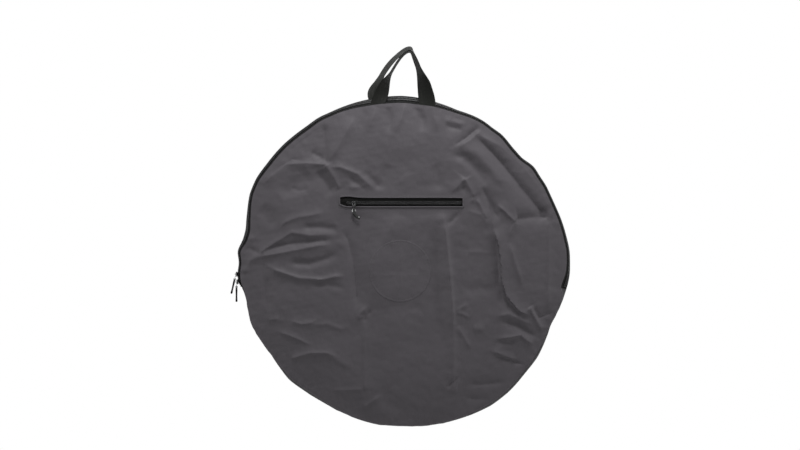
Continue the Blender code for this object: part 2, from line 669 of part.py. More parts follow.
def build_handles(bag, flap):
    """Front handle on the swinging part of the front panel, rear handle on the rear panel."""
    fold = Vector(hinge_place())
    leg = (LEG_BULGE, LEG_LEVEL_SHARE)
    rear_left_leg = (REAR_LEFT_LEG_BULGE, REAR_LEFT_LEG_LEVEL_SHARE)
    for name, side, rise, legs, parent in (("front", -1, FRONT_GRIP_RISE, (leg, leg), flap),
                                           ("rear", 1, REAR_GRIP_RISE, (rear_left_leg, leg), bag)):
        hinge = handle_hinge(side)
        place = Vector(hinge) - fold if parent is flap else Vector(hinge)
        axis = add_axis(name + "_handle_axis", place, parent)
        add_piece(name + "_handle", handle_mesh(side, rise, legs, hinge), WEBBING_BLACK, 0.7,
                  axis)


def main():
    """Build the bag around its middle."""
    clear_scene()
    bag = add_axis("bag_middle", BAG_CENTRE)
    flap = add_axis("flap_axis", hinge_place(), bag)
    build_panels(bag, flap)
    build_band(bag, flap)
    build_main_sliders(bag)
    build_pocket(flap)
    build_handles(bag, flap)


main()
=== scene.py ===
"""Soft round bag for one bicycle wheel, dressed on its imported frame.

Lengths are in metres unless a name ends in mm. +Z is up, +X is to the right and the front of
the bag faces -Y. The middle is the middle of the round bag, and angles round it run
anticlockwise from +X, as seen from the front.
"""
import logging
import math
from dataclasses import astuple, dataclass, field, replace
from enum import Enum

import bmesh
import bpy
import numpy as np
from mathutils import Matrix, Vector


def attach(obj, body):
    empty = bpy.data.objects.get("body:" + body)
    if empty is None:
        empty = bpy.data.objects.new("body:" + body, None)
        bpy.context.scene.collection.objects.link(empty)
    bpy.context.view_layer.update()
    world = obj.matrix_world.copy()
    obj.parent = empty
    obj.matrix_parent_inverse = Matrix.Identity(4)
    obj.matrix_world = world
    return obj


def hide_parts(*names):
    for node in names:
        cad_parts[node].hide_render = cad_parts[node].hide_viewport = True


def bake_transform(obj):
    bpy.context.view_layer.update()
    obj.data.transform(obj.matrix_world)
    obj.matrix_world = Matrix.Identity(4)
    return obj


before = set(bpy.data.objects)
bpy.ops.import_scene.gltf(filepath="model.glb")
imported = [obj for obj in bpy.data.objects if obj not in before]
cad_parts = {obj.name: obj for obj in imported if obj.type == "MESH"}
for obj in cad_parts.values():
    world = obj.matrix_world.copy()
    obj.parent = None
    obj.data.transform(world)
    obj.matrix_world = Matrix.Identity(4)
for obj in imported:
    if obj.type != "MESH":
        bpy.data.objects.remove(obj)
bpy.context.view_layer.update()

LOG = logging.getLogger("wheel_bag")
Array = np.ndarray
Pair = tuple[float, float]
Points = tuple[Pair, ...]
Triple = tuple[float, float, float]
Material = bpy.types.Material
Socket = bpy.types.NodeSocket
MM = 0.001
MIDDLE = np.array((-0.018, 0.0, -0.477))
FULL_TURN = 360.0
# Degrees above which an edge stays crisp, for cast, zip, cloth and rounded pieces
CAST_EDGES, ZIP_EDGES, CLOTH_EDGES, ROUND_EDGES = 50.0, 60.0, 70.0, 75.0
# Points round a thread, a rod and a wire, and along half a turn
THREAD_SIDES, ROD_SIDES, WIRE_SIDES, ARCH_POINTS = 6, 8, 10, 13


class Body(str, Enum):
    """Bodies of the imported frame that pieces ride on, some of them found by their value."""

    BAG = "bag"
    FLAP = "flap"
    FRONT_HANDLE = "front_handle"
    REAR_HANDLE = "rear_handle"
    UPPER_SLIDER = "upper_slider"
    UPPER_LINK = "upper_link"
    UPPER_GRIP = "upper_grip"
    LOWER_SLIDER = "lower_slider"
    LOWER_LINK = "lower_link"
    LOWER_GRIP = "lower_grip"
    POCKET_SLIDER = "pocket_slider"
    POCKET_LINK = "pocket_link"
    POCKET_GRIP = "pocket_grip"


class Side(Enum):
    """Front or rear of the bag, with the sign of Y there."""

    FRONT = -1
    REAR = 1


# Numbers


def smooth(value: Array, low: float, high: float) -> Array:
    """Smooth step that is level at both ends.

    Args:
        value: Where the step is taken.
        low: The step is 0 up to here.
        high: The step is 1 from here on.

    Returns:
        The step's height, 0 to 1.
    """
    share = np.clip((np.asarray(value, float) - low) / (high - low), 0.0, 1.0)
    return share * share * (3.0 - 2.0 * share)


def hump(value: Array, wide: float) -> Array:
    """Bell curve, 1 at 0 and about a third at a distance of wide."""
    return np.exp(-(np.asarray(value, float) / wide) ** 2)


def powered(value: Array, power: float) -> Array:
    """Power of a value's size, with the value's own sign."""
    return np.sign(value) * np.abs(value) ** power


def round_turn(count: int) -> Array:
    """Angles of evenly spaced points round a full turn, in radians."""
    return np.linspace(0.0, math.tau, count, endpoint=False)


def joined(*parts: Array | float) -> Array:
    """Coordinates brought to one shape and set side by side on a last axis."""
    return np.stack(np.broadcast_arrays(*parts), -1)


def unit(vectors: Array) -> Array:
    """Vectors on the last axis, brought to a length of 1."""
    return vectors / np.linalg.norm(vectors, axis=-1)[..., None]


def run_along(path: Array) -> Array:
    """Distance along a path up to each of its points."""
    return np.concatenate(((0.0,), np.cumsum(np.linalg.norm(np.diff(path, axis=0), axis=1))))


def around(knots: Points, degrees: Array, soften: float) -> Array:
    """Value on a closed polygon of knots, its corners rounded by averaging over a few degrees.

    Args:
        knots: Pairs of degrees and value, from 0 up to below 360.
        degrees: Where to read it.
        soften: Half of the span that is averaged, in degrees.

    Returns:
        The values.
    """
    samples, fall_off = 7, 1.25
    at, value = np.array(knots).T
    shifts = np.linspace(-soften, soften, samples)
    weight = 1.0 - np.abs(shifts) / (soften * fall_off)
    parts = [np.interp(degrees + shift, at, value, period=FULL_TURN) for shift in shifts]
    return np.tensordot(weight / weight.sum(), np.array(parts), 1)


def rumple(x: Array, z: Array, seed: int, longest: float, shortest: float, waves: int) -> Array:
    """Soft uneven ground: a sum of plane waves in all directions, the long ones the highest.

    Args:
        x: Place across.
        z: Place up.
        seed: Choice of waves.
        longest: Longest wave.
        shortest: Shortest wave.
        waves: Number of waves.

    Returns:
        Heights of about -1 to 1.
    """
    draw = np.random.default_rng(seed)
    length = longest * (shortest / longest) ** draw.random(waves)
    way = draw.random(waves) * math.tau
    phase = draw.random(waves) * math.tau
    total = np.zeros(np.shape(x))
    for size, turn, start in zip(length, way, phase):
        along = x * math.cos(turn) + z * math.sin(turn)
        total += size / longest * np.sin(along * math.tau / size + start)
    return total / math.sqrt(waves)


def turned(axis: str, degrees: float) -> Array:
    """Matrix that turns about one axis.

    Args:
        axis: X, Y or Z.
        degrees: Angle, right-handed.

    Returns:
        A 4 by 4 matrix.
    """
    cos, sin = math.cos(math.radians(degrees)), math.sin(math.radians(degrees))
    first, second = {"X": (1, 2), "Y": (2, 0), "Z": (0, 1)}[axis]
    matrix = np.eye(4)
    matrix[first, first] = matrix[second, second] = cos
    matrix[first, second], matrix[second, first] = -sin, sin
    return matrix


def moved(x: float, y: float, z: float) -> Array:
    """4 by 4 matrix that moves by x, y and z."""
    return np.block([[np.eye(3), np.array(((x,), (y,), (z,)))], [np.zeros(3), 1.0]])


def placed(matrix: Array, points: Array) -> Array:
    """Points, one a row, after a 4 by 4 matrix."""
    return points @ matrix[:3, :3].T + matrix[:3, 3]


# Meshes


def quads(rows: int, columns: int, close_rows: bool = False, close_columns: bool = False) -> Array:
    """Faces of a grid of points that is stored row by row.

    Args:
        rows: Number of rows of points.
        columns: Points in a row.
        close_rows: The last row joins the first one.
        close_columns: The last point of a row joins its first one.

    Returns:
        Point numbers, four to a face.
    """
    row = np.arange(rows if close_rows else rows - 1)[:, None]
    column = np.arange(columns if close_columns else columns - 1)[None, :]
    next_row, next_column = (row + 1) % rows, (column + 1) % columns
    corners = (row * columns + column, row * columns + next_column,
               next_row * columns + next_column, next_row * columns + column)
    return np.stack(np.broadcast_arrays(*corners), -1).reshape(-1, 4)


@dataclass
class Shape:
    """Points and faces on their way to a mesh, with the flat place of each point on its cloth."""

    points: Array
    faces: list
    flat: Array | None = None
    inner_from: int | None = None

    def __add__(self, other: "Shape") -> "Shape":
        """Both shapes in one.

        Args:
            other: The shape that is added.

        Returns:
            The joined shape.
        """
        shift = len(self.points)
        faces = self.faces + [tuple(corner + shift for corner in face) for face in other.faces]
        flat = None if self.flat is None else np.concatenate((self.flat, other.flat))
        return Shape(np.concatenate((self.points, other.points)), faces, flat)

    def at(self, matrix: Array) -> "Shape":
        """The same shape after a 4 by 4 matrix."""
        return Shape(placed(matrix, self.points), self.faces, self.flat)


def loft(rings: Array, closed: bool = False, flat: Array | None = None) -> Shape:
    """Skin through closed rings of points, capped at both ends or joined round.

    Args:
        rings: Array of rows by points by three.
        closed: The last ring joins the first one.
        flat: Flat place of each point, rows by points by two.

    Returns:
        The skin.
    """
    rows, count = rings.shape[:2]
    faces = [tuple(face) for face in quads(rows, count, closed, True).tolist()]
    if not closed:
        faces.append(tuple(range(count - 1, -1, -1)))
        faces.append(tuple(range((rows - 1) * count, rows * count)))
    flat = None if flat is None else flat.reshape(-1, 2)
    return Shape(rings.reshape(-1, 3), faces, flat)


def tube(path: Array, radius: Array | float, sides: int = 10, closed: bool = False) -> Shape:
    """Round wire along a path: a circle carried along it, square to its run.

    Args:
        path: Points of the middle line, one a row.
        radius: Radius, one for all or one a point.
        sides: Points round the wire.
        closed: The path is a loop.

    Returns:
        The wire.
    """
    along_wire, other_helper = 0.9, (0.3, 0.2, 1.0)
    run = (np.roll(path, -1, 0) - np.roll(path, 1, 0)) if closed else np.gradient(path, axis=0)
    run = unit(run)
    helper = np.array((0.0, 1.0, 0.0))
    if np.abs(run @ helper).max() > along_wire:
        helper = np.array(other_helper)
    across = unit(np.cross(run, helper))
    up = np.cross(run, across)
    turn = round_turn(sides)
    wide = np.broadcast_to(np.asarray(radius, float), len(path))[:, None, None]
    ring = across[:, None] * np.cos(turn)[None, :, None] + up[:, None] * np.sin(turn)[None, :, None]
    return loft(path[:, None] + ring * wide, closed)


def rounded_rectangle(left: float, right: float, low: float, high: float, corner: float,
                      count: int) -> Array:
    """Points round a rectangle whose corners are quarters of a circle.

    Args:
        left: Its left side.
        right: Its right side.
        low: Its lower side.
        high: Its upper side.
        corner: Radius of its corners.
        count: Points on each corner.

    Returns:
        The points, anticlockwise from the right side's upper end.
    """
    path = []
    for x, y, first in ((right - corner, high - corner, 0.0),
                        (left + corner, high - corner, 90.0),
                        (left + corner, low + corner, 180.0),
                        (right - corner, low + corner, 270.0)):
        turn = np.radians(first + np.linspace(0.0, 90.0, count))
        path.append(joined(x + corner * np.cos(turn), y + corner * np.sin(turn)))
    return np.concatenate(path)


def repeated(template: Shape, origins: Array, axes: Array) -> Shape:
    """One small shape set down many times.

    Args:
        template: The small shape, about the origin.
        origins: Where each copy goes, one a row.
        axes: For each copy, the directions of its X, Y and Z as rows.

    Returns:
        All copies in one shape.
    """
    points = origins[:, None] + np.einsum("pk,nkd->npd", template.points, axes)
    count = len(template.points)
    faces = []
    for face in template.faces:
        numbers = np.arange(len(origins))[:, None] * count + np.array(face)[None]
        faces += [tuple(row) for row in numbers.tolist()]
    return Shape(points.reshape(-1, 3), faces)


def bead(length: float, wide: float, high: float, rows: int = 5, sides: int = 6) -> Shape:
    """Small rounded bar along X, as a stitch or a zip tooth: an ellipse that narrows to its ends.

    Args:
        length: Length along X.
        wide: Full width along Y.
        high: Full height along Z.
        rows: Rings along it.
        sides: Points round it.

    Returns:
        The bar.
    """
    slim, power = 0.82, 3
    along = np.linspace(-1.0, 1.0, rows)[:, None]
    swell = np.sqrt(1.0 - np.abs(along) ** power * slim)
    turn = round_turn(sides)
    return loft(joined(along * length / 2, swell * np.cos(turn) * wide / 2,
                       swell * np.sin(turn) * high / 2))


def path_frames(path: Array, normals: Array, pitch: float, start: float = 0.0) -> tuple:
    """Evenly spaced places along a path.

    Args:
        path: Points of the path.
        normals: Outward direction at each point.
        pitch: Distance between places.
        start: Distance to the first one.

    Returns:
        Origins, and for each one its directions along, across and out.
    """
    run = run_along(path)
    stops = np.arange(start, run[-1], pitch)

    def read(rows: Array, at: Array) -> Array:
        """Rows read at distances along the path."""
        return np.stack([np.interp(at, run, rows[:, i]) for i in range(3)], 1)

    along = unit(read(path, stops + pitch / 4) - read(path, stops - pitch / 4))
    out = read(normals, stops)
    out = unit(out - along * (out * along).sum(1)[:, None])
    return read(path, stops), np.stack((along, np.cross(out, along), out), 1)


def stitched(path: Array, normals: Array, size: Triple, pitch: float, start: float = 0.0) -> Shape:
    """Row of stitches along a path.

    Args:
        path: Points of the path.
        normals: Outward direction at each point.
        size: Length, width and height of a stitch.
        pitch: Distance between stitches.
        start: Distance to the first one.

    Returns:
        The stitches.
    """
    return repeated(bead(*size), *path_frames(path, normals, pitch, start))


@dataclass(frozen=True)
class Dressing:
    """What a finished piece stands for in the frame, and how it moves.

    It rides on its body, or names two bodies and the start and end of a stretch between them.
    """

    slot: str
    body: Body | None = None
    stands_for: tuple[str, ...] = ()
    between: tuple[Body, Body] | None = None
    start: Triple = (0.0, 0.0, 0.0)
    end: Triple = (0.0, 0.0, 0.0)


def finished(name: str, shape: Shape, materials: list, dressing: Dressing,
             facet_degrees: float = 40.0) -> bpy.types.Object:
    """Mesh object of a shape, dressed and set on its body.

    Args:
        name: The piece's name.
        shape: Its points and faces, in place.
        materials: Its material, and that of its inner side if it has another.
        dressing: Its slot, its body or bodies and the frame nodes that it stands for.
        facet_degrees: Edges sharper than this stay crisp.

    Returns:
        The object.
    """
    mesh = bpy.data.meshes.new(name)
    mesh.from_pydata(shape.points.tolist(), [], shape.faces)
    for material in materials:
        mesh.materials.append(material)
    if shape.flat is not None:
        corner = np.zeros(len(mesh.loops), np.int32)
        mesh.loops.foreach_get("vertex_index", corner)
        layer = mesh.uv_layers.new(name="flat")
        layer.data.foreach_set("uv", shape.flat[corner].astype(np.float32).ravel())
    if shape.inner_from is not None:
        index = np.zeros(len(mesh.polygons), np.int32)
        index[shape.inner_from:] = 1
        mesh.polygons.foreach_set("material_index", index)
    mesh.validate()
    shell = bmesh.new()
    shell.from_mesh(mesh)
    bmesh.ops.recalc_face_normals(shell, faces=shell.faces)
    shell.to_mesh(mesh)
    shell.free()
    mesh.shade_smooth()
    mesh.set_sharp_from_angle(angle=math.radians(facet_degrees))
    piece = bpy.data.objects.new(name, mesh)
    bpy.context.collection.objects.link(piece)
    if dressing.between:
        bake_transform(piece)
    else:
        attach(piece, dressing.body.value)
    if dressing.stands_for:
        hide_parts(*dressing.stands_for)
    LOG.info("%s: %d points, %d faces", name, len(mesh.vertices), len(mesh.polygons))
    return piece


# Finishes


class Graph:
    """Short way to write the nodes of one material."""

    def __init__(self, name: str) -> None:
        """Start a material that has one shader.

        Args:
            name: The material's name.
        """
        self.material = bpy.data.materials.new(name)
        self.material.use_nodes = True
        self.nodes = self.material.node_tree.nodes
        self.shader = self.nodes["Principled BSDF"]

    def add(self, kind: str, **settings: object) -> bpy.types.Node:
        """Node of a kind with its own settings.

        Args:
            kind: Type of node.
            settings: Names and values of its options.

        Returns:
            The node.
        """
        node = self.nodes.new(kind)
        for name, value in settings.items():
            setattr(node, name, value)
        return node

    def join(self, source: Socket, target: Socket) -> None:
        """Link from one socket to another."""
        self.material.node_tree.links.new(source, target)

    def math(self, operation: str, *values: object) -> Socket:
        """Result of a sum on sockets and numbers.

        Args:
            operation: Name of the sum.
            values: Sockets or numbers that go in.

        Returns:
            The socket of its result.
        """
        node = self.add("ShaderNodeMath", operation=operation)
        for socket, value in zip(node.inputs, values):
            if isinstance(value, Socket):
                self.join(value, socket)
            else:
                socket.default_value = value
        return node.outputs[0]

    def product(self, first: object, *others: object) -> Socket:
        """Sockets and numbers multiplied together.

        Args:
            first: The first of them.
            others: The rest.

        Returns:
            The socket of their product.
        """
        for other in others:
            first = self.math("MULTIPLY", first, other)
        return first

    def wave(self, place: object, pitch: float) -> Socket:
        """Sine wave of a pitch along one direction, -1 to 1."""
        return self.math("SINE", self.math("MULTIPLY", place, math.tau / pitch))

    def flat_place(self) -> tuple:
        """Place on the cloth, from the flat map.

        Returns:
            Sockets of the place along, across and of both together.
        """
        layer = self.add("ShaderNodeUVMap", uv_map="flat")
        split = self.add("ShaderNodeSeparateXYZ")
        self.join(layer.outputs[0], split.inputs[0])
        return split.outputs[0], split.outputs[1], layer.outputs[0]

    def object_place(self) -> Socket:
        """Place in the object's own metres."""
        return self.add("ShaderNodeTexCoord").outputs["Object"]

    def noise(self, place: Socket, size: float,
              detail: float = 4.0) -> Socket:
        """Uneven pattern with patches of about the given size.

        Args:
            place: Where it is read.
            size: Size of its patches in metres.
            detail: Number of finer layers.

        Returns:
            The socket of its value.
        """
        node = self.add("ShaderNodeTexNoise")
        self.join(place, node.inputs["Vector"])
        node.inputs["Scale"].default_value = 1.0 / size
        node.inputs["Detail"].default_value = detail
        return node.outputs[0]

    def between(self, value: object, low: float, high: float) -> Socket:
        """A value of 0 to 1 brought to the span low to high."""
        return self.math("MULTIPLY_ADD", value, high - low, low)

    def paint(self, colour: tuple, level: object) -> None:
        """Base colour times a level that varies over the surface.

        Args:
            colour: Linear red, green and blue.
            level: Socket of the level, about 1.
        """
        mix = self.add("ShaderNodeVectorMath", operation="SCALE")
        mix.inputs[0].default_value = colour
        self.join(level, mix.inputs["Scale"])
        self.join(mix.outputs[0], self.shader.inputs["Base Color"])

    def roughen(self, value: object, low: float, high: float) -> None:
        """Roughness from low to high with a value of 0 to 1."""
        self.join(self.between(value, low, high), self.shader.inputs["Roughness"])

    def emboss(self, height: object, distance: float) -> None:
        """Relief in the surface.

        Args:
            height: Socket of the height, 0 to 1.
            distance: Height in metres at 1.
        """
        node = self.add("ShaderNodeBump")
        node.inputs["Strength"].default_value = 1.0
        node.inputs["Distance"].default_value = distance
        self.join(height, node.inputs["Height"])
        self.join(node.outputs[0], self.shader.inputs["Normal"])

    def settle(self, **inputs: float) -> Material:
        """Constants straight on the shader's sockets, and the finished material.

        Args:
            inputs: Socket names, with _ for a space, and their values.

        Returns:
            The material.
        """
        for name, value in inputs.items():
            self.shader.inputs[name.replace("_", " ")].default_value = value
        return self.material


@dataclass(frozen=True)
class ClothFinish:
    """Plain-weave polyester: crossing threads, slubs, faded patches and a faint sheen, with painted
    shade in the weave's hollows.

    Each pair is the low and the high level of the base colour for one pattern.
    """

    name: str = "bag_cloth"
    colour: Triple = (0.0745, 0.0690, 0.0765)
    thread_pitch: float = 0.00075
    relief: float = 0.00007
    roughness: float = 0.58
    sheen: float = 0.05
    sheen_roughness: float = 0.45
    smoother: float = 0.06
    rougher: float = 0.08
    fibre_size: float = 0.0009
    cloud_size: float = 0.013
    patch_size: float = 0.11
    # Painted shade: the weave levels darken the colour where the weave sinks between threads.
    weave_shade_levels: Pair = (0.93, 1.05)
    patch_levels: Pair = (0.93, 1.07)
    cloud_levels: Pair = (0.94, 1.06)
    fibre_levels: Pair = (0.90, 1.10)
    fibre_relief: float = 0.6
    cloud_relief: float = 2.2
    gloss: float = 0.16

    def build(self) -> Material:
        """The material. Its weave is the product of two sine waves, one along each thread.

        Returns:
            The material.
        """
        graph = Graph(self.name)
        along, across, place = graph.flat_place()
        warp, weft = (graph.wave(way, 2 * self.thread_pitch) for way in (along, across))
        weave = graph.between(graph.product(warp, weft), 0.5, 1.0)
        fibre = graph.noise(place, self.fibre_size)
        patches = graph.noise(place, self.patch_size, 3.0)
        cloud = graph.noise(place, self.cloud_size)
        # The weave's levels paint shade into the hollows between threads.
        graph.paint(self.colour, graph.product(
            graph.between(weave, *self.weave_shade_levels), graph.between(patches, *self.patch_levels),
            graph.between(cloud, *self.cloud_levels), graph.between(fibre, *self.fibre_levels)))
        height = graph.math("MULTIPLY_ADD", fibre, self.fibre_relief, weave)
        graph.emboss(graph.math("MULTIPLY_ADD", cloud, self.cloud_relief, height), self.relief)
        graph.roughen(fibre, self.roughness - self.smoother, self.roughness + self.rougher)
        return graph.settle(Sheen_Weight=self.sheen, Sheen_Roughness=self.sheen_roughness,
                            Specular_IOR_Level=self.gloss)


@dataclass(frozen=True)
class WebbingFinish:
    """Polyester webbing: a herringbone of raised ribs along the strap, and plain edges."""

    name: str = "handle_webbing"
    colour: Triple = (0.0098, 0.0103, 0.0090)
    rib_pitch: float = 0.0016
    column: float = 0.0042
    slant: float = 0.9
    relief: float = 0.00022
    roughness: float = 0.62
    smoother: float = 0.08
    rougher: float = 0.12
    fibre_size: float = 0.0007
    worn_size: float = 0.03
    # Painted shade: the rib levels darken the colour in the hollows between ribs.
    rib_shade_levels: Pair = (0.72, 1.28)
    worn_levels: Pair = (0.8, 1.25)
    fibre_levels: Pair = (0.75, 1.25)
    column_relief: float = 0.12
    fibre_relief: float = 0.35
    gloss: float = 0.14

    def build(self) -> Material:
        """The material. Each rib is a sine wave that slants one way and then the other.

        Returns:
            The material.
        """
        graph = Graph(self.name)
        along, across, place = graph.flat_place()
        slant = graph.product(graph.math("PINGPONG", across, self.column), self.slant)
        wave = graph.wave(graph.math("ADD", along, slant), self.rib_pitch)
        rib = graph.between(wave, 0.5, 1.0)
        column = graph.wave(across, self.column)
        fibre = graph.noise(place, self.fibre_size)
        worn = graph.noise(place, self.worn_size, 3.0)
        # The rib's levels paint shade between the ribs.
        graph.paint(self.colour, graph.product(
            graph.between(rib, *self.rib_shade_levels), graph.between(worn, *self.worn_levels),
            graph.between(fibre, *self.fibre_levels)))
        height = graph.math("MULTIPLY_ADD", column, self.column_relief, rib)
        graph.emboss(graph.math("MULTIPLY_ADD", fibre, self.fibre_relief, height), self.relief)
        graph.roughen(fibre, self.roughness - self.smoother, self.roughness + self.rougher)
        return graph.settle(Specular_IOR_Level=self.gloss)


@dataclass(frozen=True)
class TapeFinish:
    """Woven zip tape: fine ribs that run along it."""

    name: str = "zip_tape_weave"
    colour: Triple = (0.0074, 0.0074, 0.0072)
    rib_pitch: float = 0.0009
    finer: float = 1.4
    relief: float = 0.00008
    roughness: Pair = (0.6, 0.8)
    fibre_size: float = 0.0006
    # Painted shade: the weave levels darken the colour where the ribs sink.
    weave_shade_levels: Pair = (0.8, 1.2)
    fibre_levels: Pair = (0.75, 1.25)
    cross_share: float = 0.4
    weave_mix: Pair = (0.45, 0.9)
    gloss: float = 0.06

    def build(self) -> Material:
        """The material. Lengthwise sine ribs, crossed by a finer wave.

        Returns:
            The material.
        """
        graph = Graph(self.name)
        along, across, place = graph.flat_place()
        rib = graph.wave(across, self.rib_pitch)
        cross = graph.wave(along, self.rib_pitch / self.finer)
        fibre = graph.noise(place, self.fibre_size)
        weave = graph.math("MULTIPLY_ADD", cross, self.cross_share, rib)
        weave = graph.between(weave, *self.weave_mix)
        # The weave's levels paint shade between the ribs.
        graph.paint(self.colour, graph.product(graph.between(weave, *self.weave_shade_levels),
                                               graph.between(fibre, *self.fibre_levels)))
        graph.emboss(graph.math("MULTIPLY_ADD", fibre, self.cross_share, weave), self.relief)
        graph.roughen(fibre, *self.roughness)
        return graph.settle(Specular_IOR_Level=self.gloss)


@dataclass(frozen=True)
class SolidFinish:
    """Moulded, drawn or cast surface: one colour with fine grain and handling marks."""

    name: str
    colour: Triple
    roughness: float
    metallic: float = 0.0
    grain: float = 0.0008
    relief: float = 0.00002
    marks: float = 0.15
    gloss: float = 0.5
    mark_size: float = 7.0
    roughness_spread: float = 0.25

    def build(self) -> Material:
        """The material. Noise of two sizes varies its colour, gloss and relief.

        Returns:
            The material.
        """
        graph = Graph(self.name)
        place = graph.object_place()
        grain = graph.noise(place, self.grain)
        marks = graph.noise(place, self.grain * self.mark_size, 3.0)
        graph.paint(self.colour, graph.product(
            graph.between(marks, 1.0 - self.marks, 1.0 + self.marks),
            graph.between(grain, 1.0 - self.marks / 2, 1.0 + self.marks / 2)))
        graph.emboss(grain, self.relief)
        graph.roughen(marks, self.roughness * (1.0 - self.roughness_spread),
                      self.roughness * (1.0 + self.roughness_spread))
        return graph.settle(Metallic=self.metallic, Specular_IOR_Level=self.gloss)


def made(finish: ClothFinish | WebbingFinish | TapeFinish | SolidFinish) -> Material:
    """Field that holds the material which a finish builds."""
    return field(default_factory=finish.build)


@dataclass(frozen=True)
class Finishes:
    """Every finish of the bag, built once."""

    cloth: Material = made(ClothFinish())
    coated: Material = made(ClothFinish(
        "cloth_coated_side", (0.058, 0.058, 0.060), 0.00075, 0.00003, 0.42, 0.02))
    # Gusset cloth: the panels' own cloth painted darker, as shade on the band round the bottom.
    painted_shade_rim_cloth: Material = made(ClothFinish("painted_shade_rim_cloth", (0.0250, 0.0235, 0.0255)))
    lining: Material = made(ClothFinish(
        "pocket_lining", (0.050, 0.050, 0.053), 0.0006, 0.00005, 0.6, 0.1))
    webbing: Material = made(WebbingFinish())
    tape: Material = made(TapeFinish())
    coil: Material = made(SolidFinish(
        "zip_coil_nylon", (0.026, 0.026, 0.027), 0.42, gloss=0.3))
    metal: Material = made(SolidFinish(
        "plated_metal", (0.52, 0.53, 0.54), 0.26, 1.0, 0.0006, 0.00001, 0.10))
    enamel: Material = made(SolidFinish(
        "black_enamel", (0.007, 0.007, 0.0073), 0.24, 0.0, 0.0007, 0.00001, 0.2, 0.16))
    dark_metal: Material = made(SolidFinish(
        "dark_metal", (0.085, 0.085, 0.088), 0.22, 1.0, 0.0007, 0.000006, 0.2))
    rubber: Material = made(SolidFinish(
        "moulded_grip", (0.0052, 0.0040, 0.0038), 0.5, 0.0, 0.0011, 0.00001, 0.2, 0.08))
    glossy: Material = made(SolidFinish(
        "glossy_grip", (0.0040, 0.0040, 0.0042), 0.12, 0.0, 0.0011, 0.000002, 0.1, 0.45))
    thread: Material = made(SolidFinish(
        "grey_thread", (0.075, 0.075, 0.078), 0.6, 0.0, 0.0004, 0.00003))
    black_thread: Material = made(SolidFinish(
        "black_thread", (0.016, 0.016, 0.017), 0.6, 0.0, 0.0004, 0.00003))


# The bag's own form


@dataclass(frozen=True)
class BagSizes:
    """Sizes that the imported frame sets."""

    radius: float = 0.375
    half_band: float = 0.008
    rim_depth: float = 0.0085
    crown: float = 0.0125
    crown_run: float = 0.115
    cloth: float = 0.0010
    fold_height: float = -0.012
    fold_ease_below: float = 0.004
    fold_ease_above: float = 0.016
    zip_end_drop: float = 0.060
    slit_half: float = 0.0006
    coil_half: float = 0.0030
    coil_up: float = 0.0003
    coil_high: float = 0.0020

    @property
    def zip_end(self) -> float:
        """Angle from level down to the zip tape's end, in degrees."""
        return math.degrees(math.asin(self.zip_end_drop / self.radius))

    def across_fold(self, slot: str, *stands_for: str) -> Dressing:
        """Dressing of a front piece that lies across the fold, between bag and flap.

        Args:
            slot: The piece's material slot.
            stands_for: Nodes of the frame that it takes the place of.

        Returns:
            The dressing, with both ends of the stretch across the fold.
        """
        low = self.fold_height - self.fold_ease_below + MIDDLE[2]
        high = self.fold_height + self.fold_ease_above + MIDDLE[2]
        return Dressing(slot, None, stands_for, (Body.BAG, Body.FLAP), (0.0, 0.0, low),
                        (0.0, 0.0, high))


